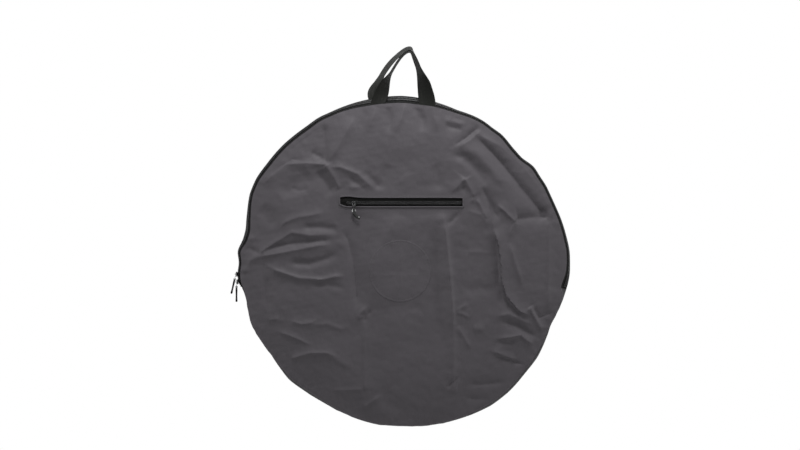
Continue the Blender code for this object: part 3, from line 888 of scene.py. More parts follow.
@dataclass(frozen=True)
class RimShape:
    """The soft rim: how far it stands off a true circle, and how its front seam droops."""

    size: BagSizes
    outline_mm: Points = (
        (0, 9.0), (4, 9.0), (8, 6.0), (12, 3.6), (16, 1.2), (20, -1.6), (24, -2.6), (28, -2.0),
        (32, -3.8), (36, -2.6), (41, -12.2), (46, -11.0), (52, -4.4), (56, -5.0), (60, -2.2),
        (64, -2.4), (70, -5.0), (77, -1.5), (84, 3.0), (90, 5.4), (105, 5.4), (116, 5.4),
        (120, 7.2), (125, 5.0), (130, 5.8), (135, 7.2), (144, 7.6), (150, 9.8), (156, 6.8),
        (162, -2.5), (168, -9.8), (172, -7.6), (176.2, 3.0), (178.6, -1.4), (180.6, -2.6),
        (182.2, -0.2), (183.8, 2.0), (187.4, 2.0), (189.2, -6.0), (191, -8.6), (193.2, -9.4),
        (197, -7.4), (202, -3.0), (208, -5.5), (215, -9.3), (221, -6.0), (226, -2.3),
        (233, -6.0), (240, -7.6), (250, -5.0), (260, -1.2), (270, -1.5), (280, 2.6), (290, 6.0),
        (302, 10.5), (310, 8.5), (318, 3.5), (325, 3.2), (331, -1.6), (337, -6.6),
        (342, -2.7), (347, 2.0), (349.5, 4.6), (353, 7.8), (356, 9.4))
    droop_mm: Points = (
        (0, 9.5), (20, 8.5), (45, 9.0), (60, 8.5), (70, 9.5), (78, 13.0), (84, 17.5),
        (96, 17.5), (103, 16.0), (108, 13.0), (113, 11.0), (125, 11.0), (145, 11.0), (153, 9.5),
        (160, 10.0), (169, 13.0), (173, 12.5), (176.5, 8.0), (180, 7.5), (187, 7.5), (189, 5.0),
        (191, 2.0), (200, 2.0), (210, 2.5), (218, 3.5), (224, 6.5), (233, 6.0), (243, 4.0),
        (255, 1.5), (275, 2.0), (288, 4.0), (301, 7.0), (315, 7.5), (327, 8.0), (335, 5.0),
        (345, 3.5),
        (349, 4.0), (350.6, 16.5), (353, 15.5), (356, 11.5))
    soften: float = 1.7

    def radius(self, angle: Array) -> Array:
        """Radius of the rear seam at angles in radians."""
        return self.size.radius + around(self.outline_mm, np.degrees(angle), self.soften) * MM

    def droop(self, angle: Array) -> Array:
        """How much smaller the front seam's radius is, at angles in radians."""
        return np.maximum(around(self.droop_mm, np.degrees(angle), self.soften), 0.0) * MM

    def seam_radius(self, angle: Array, side: Side) -> Array:
        """Radius of a panel's seam at angles in radians."""
        return self.radius(angle) - (self.droop(angle) if side is Side.FRONT else 0.0)

    def on_band(self, angle: Array, across: Array, up: Array) -> Array:
        """Points on the band: Y is across, the radius grows by up and falls towards the front.

        Args:
            angle: Angles round the middle, in radians.
            across: Y on the band.
            up: Height over its outer face.

        Returns:
            Points, in one array with the inputs' shape and a last axis of three.
        """
        lean = 0.5 - across / (2 * self.size.half_band)
        radius = self.radius(angle) + up - self.droop(angle) * lean
        return joined(radius * np.cos(angle), across, radius * np.sin(angle)) + MIDDLE

    def band_out(self, angle: Array) -> Array:
        """Outward direction of the band at angles in radians, one row each."""
        tip = self.droop(angle) / (2 * self.size.half_band)
        return unit(joined(np.cos(angle), -tip, np.sin(angle)))


class Fold(Enum):
    """Section of a fold, as the power in its bell curve: a low one gives a sharp edge."""

    SOFT = 2.0
    FIRM = 1.45
    SHARP = 1.05


SOFT, FIRM, SHARP = Fold


@dataclass(frozen=True)
class Crease:
    """One fold of the cloth along a line.

    The line is drawn in steps of 0.57 mm from the upper left corner of a square round the bag,
    X to the right and Y down. The height stands out from the panel, or sinks in if it is
    negative. The two widths are those on the left and the right of the line's run.
    """

    line: Points
    height_mm: float
    left_mm: float
    right_mm: float
    kind: Fold = Fold.FIRM
    fade: Pair = (0.25, 0.3)
    lean_mm: float = 0.0


@dataclass(frozen=True)
class Drawing:
    """Scale and middle of the square that the folds are drawn on."""

    step: float = 0.57 * MM
    middle: Pair = (696.3, 696.8)

    def points(self, line: Points) -> Array:
        """X and Z from the bag's middle of a line's points."""
        place = np.array(line, float)
        return (place - self.middle) * (self.step, -self.step)


FRONT_CREASES = tuple(Crease(*row) for row in (
    # star at the upper left
    (((396, 306), (390, 240), (386, 140)), -4.2, 15, 9, SHARP, (0.08, 0.2)),
    (((393, 306), (312, 302), (236, 306), (190, 342), (124, 400)), 4.6, 12, 9, SHARP, (0.0, 0.25)),
    (((320, 296), (262, 286), (206, 318), (150, 366)), -2.2, 6, 6),
    (((400, 305), (440, 240), (480, 165), (512, 105)), 4.2, 16, 10),
    (((330, 255), (370, 276), (388, 298)), -2.4, 7, 7),
    (((394, 310), (424, 356), (452, 408)), 3.4, 6, 9, SHARP, (0.0, 0.15)),
    (((352, 330), (392, 376), (432, 440)), -4.0, 12, 13),
    (((400, 318), (450, 318), (520, 345), (566, 388), (596, 412)), 3.8, 7, 8, SHARP),
    (((480, 358), (520, 384), (556, 412)), -2.6, 8, 8),
    (((480, 402), (530, 398), (562, 384)), 1.8, 6, 6),
    (((540, 330), (590, 380), (610, 415)), -2.0, 8, 8, SOFT),
    (((340, 340), (300, 372), (240, 410), (205, 440)), -3.4, 16, 20, SOFT),
    (((250, 395), (285, 412), (330, 402)), -1.8, 6, 6),
    # left edge
    (((199, 570), (232, 536), (275, 518), (340, 508), (396, 494)), 3.4, 7, 9, SHARP),
    (((135, 655), (200, 612), (256, 578), (330, 590), (456, 584)), 4.2, 10, 7, SHARP, (0.0, 0.4)),
    (((290, 560), (360, 556), (420, 562), (452, 578)), -2.8, 8, 7, SOFT),
    (((118, 660), (190, 636), (260, 622), (350, 612), (440, 604)), -3.0, 6, 6),
    (((140, 672), (250, 652), (350, 632), (452, 622)), 4.0, 6, 8, SHARP, (0.0, 0.4)),
    (((230, 700), (330, 702), (400, 682), (456, 650)), -3.6, 9, 8, SOFT),
    (((148, 702), (200, 730), (285, 758), (379, 764), (430, 752), (474, 752)), 4.6, 5, 7, SHARP,
     (0.2, 0.15)),
    (((330, 788), (400, 786), (470, 800)), -1.8, 7, 7, SOFT),
    (((130, 668), (90, 690), (62, 745)), 3.6, 8, 8, FIRM, (0.0, 0.2)),
    (((128, 662), (88, 640), (58, 640)), -3.2, 8, 8, FIRM, (0.0, 0.1)),
    (((60, 628), (82, 605), (112, 598)), 4.4, 9, 8),
    (((190, 276), (260, 222), (352, 164)), -3.2, 7, 8),
    (((172, 262), (236, 208), (330, 146)), 2.4, 8, 6),
    (((108, 388), (150, 360), (196, 342)), 2.8, 9, 7),
    (((120, 480), (170, 520), (190, 565)), -2.6, 16, 14, SOFT),
    # column down the middle
    (((700, 490), (644, 570), (606, 640), (590, 720), (584, 800), (582, 900)), 5.0, 40, 20, FIRM,
     (0.2, 0.25)),
    (((452, 560), (482, 610), (504, 700), (514, 800), (520, 890)), -3.8, 14, 6, SHARP, (0.15, 0.2)),
    (((545, 930), (546, 1060), (548, 1206)), 1.6, 8, 4, SHARP, (0.1, 0.05)),
    (((525, 930), (528, 900), (560, 872)), 2.8, 5, 5, SHARP),
    (((545, 935), (552, 910), (576, 884)), -2.4, 5, 5, SHARP),
    (((855, 486), (868, 570), (881, 690), (892, 800), (898, 900), (900, 1060), (900, 1250)), 5.4,
     12, 36, SHARP, (0.05, 0.15)),
    (((864, 545), (872, 620), (882, 720), (891, 820), (897, 900), (902, 970)), 2.8, 5, 11, SHARP,
     (0.08, 0.2)),
    (((826, 505), (838, 700), (858, 950), (876, 1120)), -3.6, 13, 20, SOFT),
    (((905, 890), (932, 876), (962, 860)), 1.8, 5, 5),
    (((904, 896), (935, 900), (972, 920)), 2.4, 5, 5, SHARP),
    (((912, 945), (942, 992), (972, 1046)), 2.8, 6, 6, SHARP),
    (((872, 1198), (898, 1170), (922, 1148)), -2.6, 5, 5, SHARP),
    (((900, 1222), (915, 1185), (926, 1155)), 1.8, 5, 5, SHARP),
    (((585, 746), (690, 749), (800, 742)), 0.5, 4, 4, SHARP),
    (((690, 610), (694, 700), (692, 860)), 0.4, 4, 4, SHARP),
    (((945, 656), (1000, 654), (1056, 660)), 1.2, 5, 6),
    (((620, 872), (700, 880), (800, 862)), -1.6, 20, 16, SOFT),
    (((600, 1190), (640, 1250), (700, 1300)), -1.8, 18, 18, SOFT),
    # right end of the pocket
    (((941, 476), (966, 456), (988, 440)), 3.0, 5, 5, SHARP),
    (((988, 440), (1004, 466), (1021, 500), (1038, 528)), 3.6, 6, 5, SHARP),
    (((946, 362), (962, 398), (984, 440)), 3.6, 9, 6, SHARP, (0.05, 0.2)),
    (((868, 556), (902, 520), (941, 478)), -3.0, 6, 6),
    (((946, 362), (916, 398), (880, 430)), 3.8, 6, 12, SHARP, (0.05, 0.3)),
    (((938, 392), (944, 420), (952, 440)), -2.0, 7, 7, SOFT),
    (((1010, 390), (1036, 440), (1062, 494), (1090, 535)), -4.4, 9, 9),
    (((880, 256), (944, 282), (1000, 338), (1044, 400)), -3.8, 14, 10, SOFT),
    (((912, 236), (990, 262), (1064, 334), (1112, 410)), 3.2, 16, 12, SOFT),
    (((912, 508), (960, 490), (1010, 508), (1050, 560)), 2.4, 6, 20, SHARP),
    # upper right
    (((896, 236), (950, 202), (1008, 152)), -4.0, 8, 5, SHARP, (0.3, 0.15)),
    (((912, 244), (962, 212), (1016, 166)), 2.4, 5, 9, SHARP, (0.3, 0.15)),
    (((992, 184), (1088, 232), (1181, 318), (1245, 400), (1284, 486)), 5.6, 12, 18, SHARP, (0.12,
     0.08)),
    (((986, 192), (1058, 264), (1126, 344), (1192, 426), (1272, 522)), -5.4, 10, 12, FIRM, (0.12,
     0.05)),
    (((1282, 520), (1310, 492), (1340, 470)), 3.0, 7, 7),
    (((1288, 528), (1322, 540), (1352, 566)), 2.4, 7, 7),
    (((1068, 462), (1104, 494), (1145, 534)), 4.4, 7, 5, SHARP, (0.3, 0.05)),
    (((1145, 536), (1132, 566), (1122, 604)), 3.0, 5, 5, SHARP, (0.05, 0.4)),
    (((1150, 526), (1212, 518), (1284, 514)), -3.8, 14, 9, FIRM, (0.05, 0.1)),
    (((1280, 530), (1279, 700), (1275, 885)), 2.2, 12, 5, SHARP, (0.05, 0.1)),
    (((848, 92), (905, 108), (966, 132)), -2.4, 6, 6),
    (((862, 150), (905, 162), (944, 170)), -2.4, 8, 7),
    (((860, 128), (910, 138), (960, 150)), 1.8, 6, 6),
    # long S fold and those below it
    (((1060, 560), (1080, 616), (1092, 690), (1096, 770), (1114, 830), (1158, 882), (1206, 912)),
     6.8, 14, 4.4, SHARP, (0.1, 0.1), 3.0),
    (((1050, 560), (1069, 620), (1080, 690), (1084, 775), (1101, 842), (1146, 898)), -4.2, 5, 8,
     FIRM),
    (((1122, 612), (1140, 680), (1160, 740), (1176, 800)), 3.4, 5, 7, SHARP),
    (((1201, 872), (1224, 914), (1258, 976)), 5.0, 8, 7, SHARP, (0.1, 0.2)),
    (((1216, 866), (1240, 918), (1308, 892)), -3.8, 6, 6, SHARP),
    (((1062, 912), (1120, 902), (1180, 930), (1222, 950)), 3.4, 8, 8, SHARP),
    (((1082, 928), (1150, 948), (1240, 1002)), -3.8, 7, 8),
    (((1066, 1000), (1116, 996), (1168, 986), (1236, 1042)), 4.0, 7, 6, SHARP),
    (((1066, 1014), (1110, 1018), (1150, 1016)), -1.8, 5, 5),
    (((1048, 1046), (1096, 1066), (1158, 1088)), 3.4, 6, 5, SHARP),
    (((1060, 1068), (1120, 1086), (1196, 1110)), -3.2, 5, 6, SHARP),
    (((975, 962), (1000, 958), (1028, 966)), 2.0, 9, 9, SOFT),
    (((950, 1180), (1010, 1182), (1120, 1174)), -2.2, 8, 6),
    (((950, 1238), (1000, 1240), (1050, 1248)), -2.2, 6, 6, SHARP),
    (((930, 806), (1010, 800), (1090, 812)), -1.8, 12, 12, SOFT),
    # lower left
    (((163, 926), (210, 920)), 2.6, 7, 6, SHARP),
    (((245, 926), (299, 942), (340, 934), (362, 918)), 3.0, 6, 7, SHARP),
    (((330, 948), (400, 940), (452, 960), (500, 956)), 1.6, 6, 6),
    (((198, 972), (245, 985), (300, 1008), (336, 1028)), 2.8, 6, 6, SHARP),
    (((246, 1082), (285, 1070), (325, 1057), (390, 1055), (436, 1068)), 3.8, 7, 8, SHARP, (0.15,
     0.2)),
    (((400, 1060), (450, 1090), (500, 1120)), 1.6, 8, 8, SOFT),
    (((532, 1282), (570, 1256), (620, 1218)), 2.8, 7, 6, SHARP),
    (((152, 742), (158, 830), (168, 900)), -2.4, 9, 8, SOFT),
    (((414, 1206), (480, 1204), (556, 1198)), 1.8, 5, 6, SHARP),
    (((240, 1150), (300, 1190), (350, 1240)), -1.8, 14, 14, SOFT),
    # gathers under the handles
    (((640, 74), (646, 130), (642, 205)), -3.2, 9, 9, SOFT, (0.0, 0.6)),
    (((704, 72), (690, 130), (662, 192)), 2.6, 8, 8, FIRM, (0.0, 0.6)),
    (((762, 78), (776, 130), (780, 200)), -3.4, 9, 9, SOFT, (0.0, 0.6)),
    (((820, 76), (830, 130), (846, 196)), 3.4, 9, 9, FIRM, (0.0, 0.6)),
    (((590, 80), (574, 130), (552, 196)), 3.0, 10, 10, FIRM, (0.0, 0.6)),
    (((690, 350), (720, 392), (700, 436)), 1.8, 16, 16, SOFT),
    (((640, 300), (626, 360), (600, 420)), -2.4, 14, 14, SOFT),
    (((820, 300), (836, 350), (830, 420)), -2.0, 14, 14, SOFT),
))

REAR_CREASES = tuple(Crease(*row) for row in (
    (((520, 90), (470, 190), (400, 300), (330, 380)), 3.2, 12, 9),
    (((400, 300), (470, 330), (560, 400), (600, 470)), 2.8, 8, 7, SHARP),
    (((395, 306), (300, 310), (210, 350)), 3.2, 8, 9, SHARP, (0.0, 0.5)),
    (((640, 80), (650, 150), (640, 230)), -2.2, 10, 10, SOFT, (0.0, 0.6)),
    (((770, 80), (760, 160), (786, 240)), 2.4, 10, 10, FIRM, (0.0, 0.6)),
    (((880, 110), (930, 230), (1000, 340), (1100, 420)), 3.6, 9, 14, SHARP),
    (((1000, 340), (1090, 330), (1200, 370), (1270, 440)), 3.0, 8, 8, SHARP),
    (((695, 240), (692, 480), (698, 720), (694, 1000), (700, 1240)), 1.8, 6, 6, SHARP),
    (((120, 700), (330, 690), (560, 698), (800, 694), (1060, 702), (1270, 690)), 1.8, 6, 7, SHARP),
    (((110, 610), (210, 570), (340, 590), (450, 560)), 3.2, 9, 7, SHARP),
    (((130, 640), (250, 650), (380, 640)), -2.4, 8, 9, SOFT),
    (((150, 760), (240, 800), (370, 790), (470, 820)), 2.8, 7, 8, SHARP),
    (((200, 960), (300, 920), (420, 940), (520, 900)), 2.6, 8, 8),
    (((260, 1110), (350, 1060), (460, 1070)), 2.4, 8, 7, SHARP),
    (((470, 1240), (560, 1180), (640, 1190)), 2.0, 8, 8),
    (((900, 560), (960, 640), (980, 760), (960, 880)), 3.0, 16, 8, SHARP),
    (((880, 580), (936, 660), (950, 770)), -2.4, 10, 10, SOFT),
    (((960, 880), (1040, 940), (1150, 930), (1250, 980)), 3.0, 8, 8, SHARP),
    (((1290, 560), (1200, 600), (1110, 580)), 3.0, 8, 8, SHARP),
    (((1320, 760), (1220, 780), (1120, 750)), 2.4, 8, 8),
    (((880, 1240), (930, 1150), (1010, 1100), (1120, 1110)), 2.6, 8, 9, SHARP),
    (((600, 1290), (640, 1210), (720, 1180)), 1.8, 8, 8),
))


@dataclass(frozen=True)
class Window:
    """Opening for the pocket's zip, from the bag's middle, and the calm cloth round it.

    Its upper edge gapes above the slider, and its lower left corner is lifted. A pair is the
    first and the last distance of a smooth step, and a reach is the width of a bell curve.
    """

    left: float = -0.1409
    right: float = 0.1377
    low: float = 0.1268
    high: float = 0.1466
    calm: Pair = (0.004, 0.030)
    hem: float = 0.0070
    hem_raise: float = 0.0006
    hem_roll: Pair = (0.0016, 0.0046)
    gape: float = 0.0030
    gape_at: float = -0.124
    gape_reach: float = 0.020
    gape_above: float = 0.016
    gape_from: float = 0.012
    gape_full: float = 0.001
    corner_lift: float = 0.0052
    corner_in: float = 0.002
    corner_reach: float = 0.011
    corner_below: float = 0.014
    corner_rise: float = 0.010

    def gap(self, x: Array, z: Array) -> Array:
        """Distance from the opening, 0 inside it.

        Args:
            x: X from the bag's middle.
            z: Z from it.

        Returns:
            The distance.
        """
        aside = np.maximum(np.maximum(self.left - x, x - self.right), 0.0)
        above = np.maximum(np.maximum(self.low - z, z - self.high), 0.0)
        return np.hypot(aside, above)

    def grown(self, off: float) -> tuple[float, float, float, float]:
        """Left, right, lower and upper side of the opening, moved outwards."""
        return self.left - off, self.right + off, self.low - off, self.high + off

    def pull(self, x: Array, z: Array) -> Array:
        """Upward pull of the cloth where the zip gapes, and at the lower left corner.

        Args:
            x: X from the bag's middle.
            z: Z from it.

        Returns:
            The pull in Z.
        """
        gape = (self.gape * hump(x - self.gape_at, self.gape_reach)
                * smooth(z, self.low + self.gape_from, self.high - self.gape_full)
                * hump(np.maximum(z - self.high, 0.0), self.gape_above))
        return gape + (self.corner_lift * (1.0 - smooth(z, self.low, self.low + self.corner_rise))
                       * hump(x - self.left + self.corner_in, self.corner_reach)
                       * hump(np.minimum(z - self.low, 0.0), self.corner_below))


@dataclass
class ClothForm:
    """Height of one panel's soft surface over the bag's middle plane, and its sideways pull.

    Ground and crumple are the soft and the fine unevenness: seed step, longest and shortest
    wave, number of waves and height. Gathers are the waves along the seam.
    """

    size: BagSizes
    rim: RimShape
    side: Side
    creases: tuple[Crease, ...]
    seed: int
    window: Window | None = None
    drawing: Drawing = field(default_factory=Drawing)
    stretch_from: float = 0.45
    sag: float = 0.0022
    fold_gain: float = 1.3
    fold_at_seam: float = 0.35
    soft_run: float = 0.035
    deepest_at_seam: float = 0.0004
    deepest_run: float = 0.008
    deepest_slope: float = 0.35
    ground: tuple = (0, 0.16, 0.045, 16, 0.0014)
    crumple: tuple = (1, 0.030, 0.012, 26, 0.00030)
    gather_high: float = 0.0004
    gather_waves: float = 118.0
    gather_groups: float = 7.0
    gather_uneven: float = 0.4
    gather_shift: float = 2.5
    gather_shifts: float = 5.0
    gather_start: Pair = (-0.002, 0.006)
    gather_reach: float = 0.016
    handle_spacing: float = 0.058
    handle_half: float = 0.026
    handle_from: Pair = (0.30, 0.34)
    handle_swell: float = 0.0022
    handle_reach: float = 0.03
    crease_reach: float = 3.2
    least_fade: float = 0.12
    fade_margin: float = 0.02
    lean_reach: float = 0.007
    lean_behind: float = 0.25

    def spread(self, x: Array, z: Array) -> tuple:
        """Place of the cloth after its round edge is drawn out to the rim's own outline.

        Args:
            x: X on the flat round cut, from its middle.
            z: Z on it.

        Returns:
            X and Z from the bag's middle, the angle there and the distance in from the seam.
        """
        radius = np.hypot(x, z)
        angle = np.arctan2(z, x)
        target = self.rim.seam_radius(angle, self.side)
        share = smooth(radius / self.size.radius, self.stretch_from, 1.0)
        stretch = 1.0 + (target / self.size.radius - 1.0) * share
        return x * stretch, z * stretch, angle, np.maximum(target - radius * stretch, 0.0)

    @staticmethod
    def along(line: Array, x: Array, z: Array) -> tuple:
        """Nearest place on a line of straight runs.

        Args:
            line: Corners of the line.
            x: X of the points that look for it.
            z: Z of them.

        Returns:
            Distance to it, positive on its left, its share of the line's length, and the line's
            direction there in X and in Z.
        """
        signed, run, way_x, way_z = (np.zeros_like(x) for _ in range(4))
        best = np.full(x.shape, np.inf)
        starts = run_along(line)
        steps = np.diff(line, axis=0)
        lengths = np.linalg.norm(steps, axis=1)
        for (px, pz), (run_x, run_z), length, start in zip(line, steps / lengths[:, None], lengths,
                                                           starts):
            ahead = (x - px) * run_x + (z - pz) * run_z
            left = (z - pz) * run_x - (x - px) * run_z
            over = np.clip(ahead, 0.0, length)
            away = np.hypot(ahead - over, left)
            closer = away < best
            best[closer] = away[closer]
            signed[closer] = np.where(left > 0.0, away, -away)[closer]
            run[closer] = start + over[closer]
            way_x[closer], way_z[closer] = run_x, run_z
        return signed, run / starts[-1], way_x, way_z

    def crease_height(self, x: Array, z: Array) -> tuple:
        """Sum of all folds: each a bell curve of the distance to its line, faded at its ends.

        Args:
            x: X from the bag's middle.
            z: Z from it.

        Returns:
            Height, and the pull in X and in Z of folds that lean over.
        """
        height, pull_x, pull_z = (np.zeros_like(x) for _ in range(3))
        margin = self.fade_margin
        for crease in self.creases:
            line = self.drawing.points(crease.line)
            reach = self.crease_reach * max(crease.left_mm, crease.right_mm) * MM
            (low_x, low_z), (high_x, high_z) = line.min(0) - reach, line.max(0) + reach
            near = (x > low_x) & (x < high_x) & (z > low_z) & (z < high_z)
            signed, share, way_x, way_z = self.along(line, x[near], z[near])
            fade = (smooth(share, -margin, max(crease.fade[0], margin))
                    * smooth(1.0 - share, -margin, max(crease.fade[1], margin)))
            fade = np.maximum(fade, self.least_fade)
            wide = np.where(signed > 0.0, crease.left_mm, crease.right_mm) * MM
            bell = np.exp(-(np.abs(signed) / wide) ** crease.kind.value)
            height[near] += crease.height_mm * MM * bell * fade
            lean = (np.where(signed > 0.0, 1.0, self.lean_behind) * fade
                    * hump(signed, self.lean_reach) * crease.lean_mm * MM)
            pull_x[near] += way_z * lean
            pull_z[near] -= way_x * lean
        return height, pull_x, pull_z

    def uneven(self, x: Array, z: Array, wave: tuple) -> Array:
        """Height of the ground or the crumple at X and Z from the bag's middle."""
        step, longest, shortest, waves, high = wave
        return rumple(x, z, self.seed + step, longest, shortest, waves) * high

    def gathers(self, angle: Array, inward: Array) -> Array:
        """Gathers along the seam: waves round it, uneven in height and spacing, that die inwards.

        Args:
            angle: Angle round the bag's middle, in radians.
            inward: Distance in from the seam.

        Returns:
            Their height.
        """
        groups = np.sin(angle * self.gather_groups + self.seed)
        uneven = 1.0 - self.gather_uneven + self.gather_uneven * groups
        shift = self.gather_shift * np.sin(angle * self.gather_shifts + self.seed)
        return (self.gather_high * uneven * np.sin(angle * self.gather_waves + shift)
                * np.exp(-inward / self.gather_reach) * smooth(inward, *self.gather_start))

    def place(self, x: Array, z: Array) -> tuple:
        """Outer face of the cloth.

        The height is the crown's sine over its run in from the seam, plus the sag, the folds,
        soft and fine rumples, the gathers of the seam and the swell over the handles' ends.

        Args:
            x: X on the flat round cut.
            z: Z on it.

        Returns:
            X, height over the middle plane, and Z, from the bag's middle.
        """
        px, pz, angle, inward = self.spread(x, z)
        share = np.clip(inward / self.size.crown_run, 0.0, 1.0)
        out = self.size.rim_depth + self.size.crown * np.sin(share * math.pi / 2)
        soft = smooth(inward, 0.0, self.soft_run)
        folds, pull_x, pull_z = self.crease_height(px, pz)
        lower = np.clip(-pz / self.size.radius, -1.0, 1.0)
        extra = (folds * self.fold_gain * (self.fold_at_seam + (1.0 - self.fold_at_seam) * soft)
                 + self.uneven(px, pz, self.ground) * soft + self.uneven(px, pz, self.crumple)
                 + self.sag * np.sin(lower * math.pi / 2) * share)
        extra = np.maximum(extra, -self.deepest_at_seam - self.deepest_slope
                           * np.maximum(inward - self.deepest_run, 0.0))
        if self.window:
            gap = self.window.gap(px, pz)
            extra = extra * smooth(gap, *self.window.calm)
            extra += self.window.hem_raise * (1.0 - smooth(gap, *self.window.hem_roll))
            pull_z = pull_z + self.window.pull(px, pz)
        extra += self.gathers(angle, inward)
        for handle_x in (-self.handle_spacing, self.handle_spacing):
            over = np.exp(-((px - handle_x) / self.handle_half) ** 4)
            extra += (self.handle_swell * over * smooth(pz, *self.handle_from)
                      * np.exp(-inward / self.handle_reach))
        return px + pull_x, out + extra, pz + pull_z

    def points(self, x: Array, z: Array, lift: Array | float = 0.0) -> Array:
        """Points of the cloth in the frame, lifted off its face."""
        px, out, pz = self.place(x, z)
        return joined(px, self.side.value * (out + lift), pz) + MIDDLE

    def normals(self, x: Array, z: Array, step: float = 0.002) -> Array:
        """Outward directions of the cloth, from the slope between near points.

        Args:
            x: X on the flat round cut.
            z: Z on it.
            step: Distance to the near points.

        Returns:
            Directions, one a point.
        """
        run_x = self.points(x + step, z) - self.points(x - step, z)
        run_z = self.points(x, z + step) - self.points(x, z - step)
        out = unit(np.cross(run_x, run_z)) * -self.side.value
        return np.where(out[..., 1:2] * self.side.value < 0.0, -out, out)


# Cloth panels


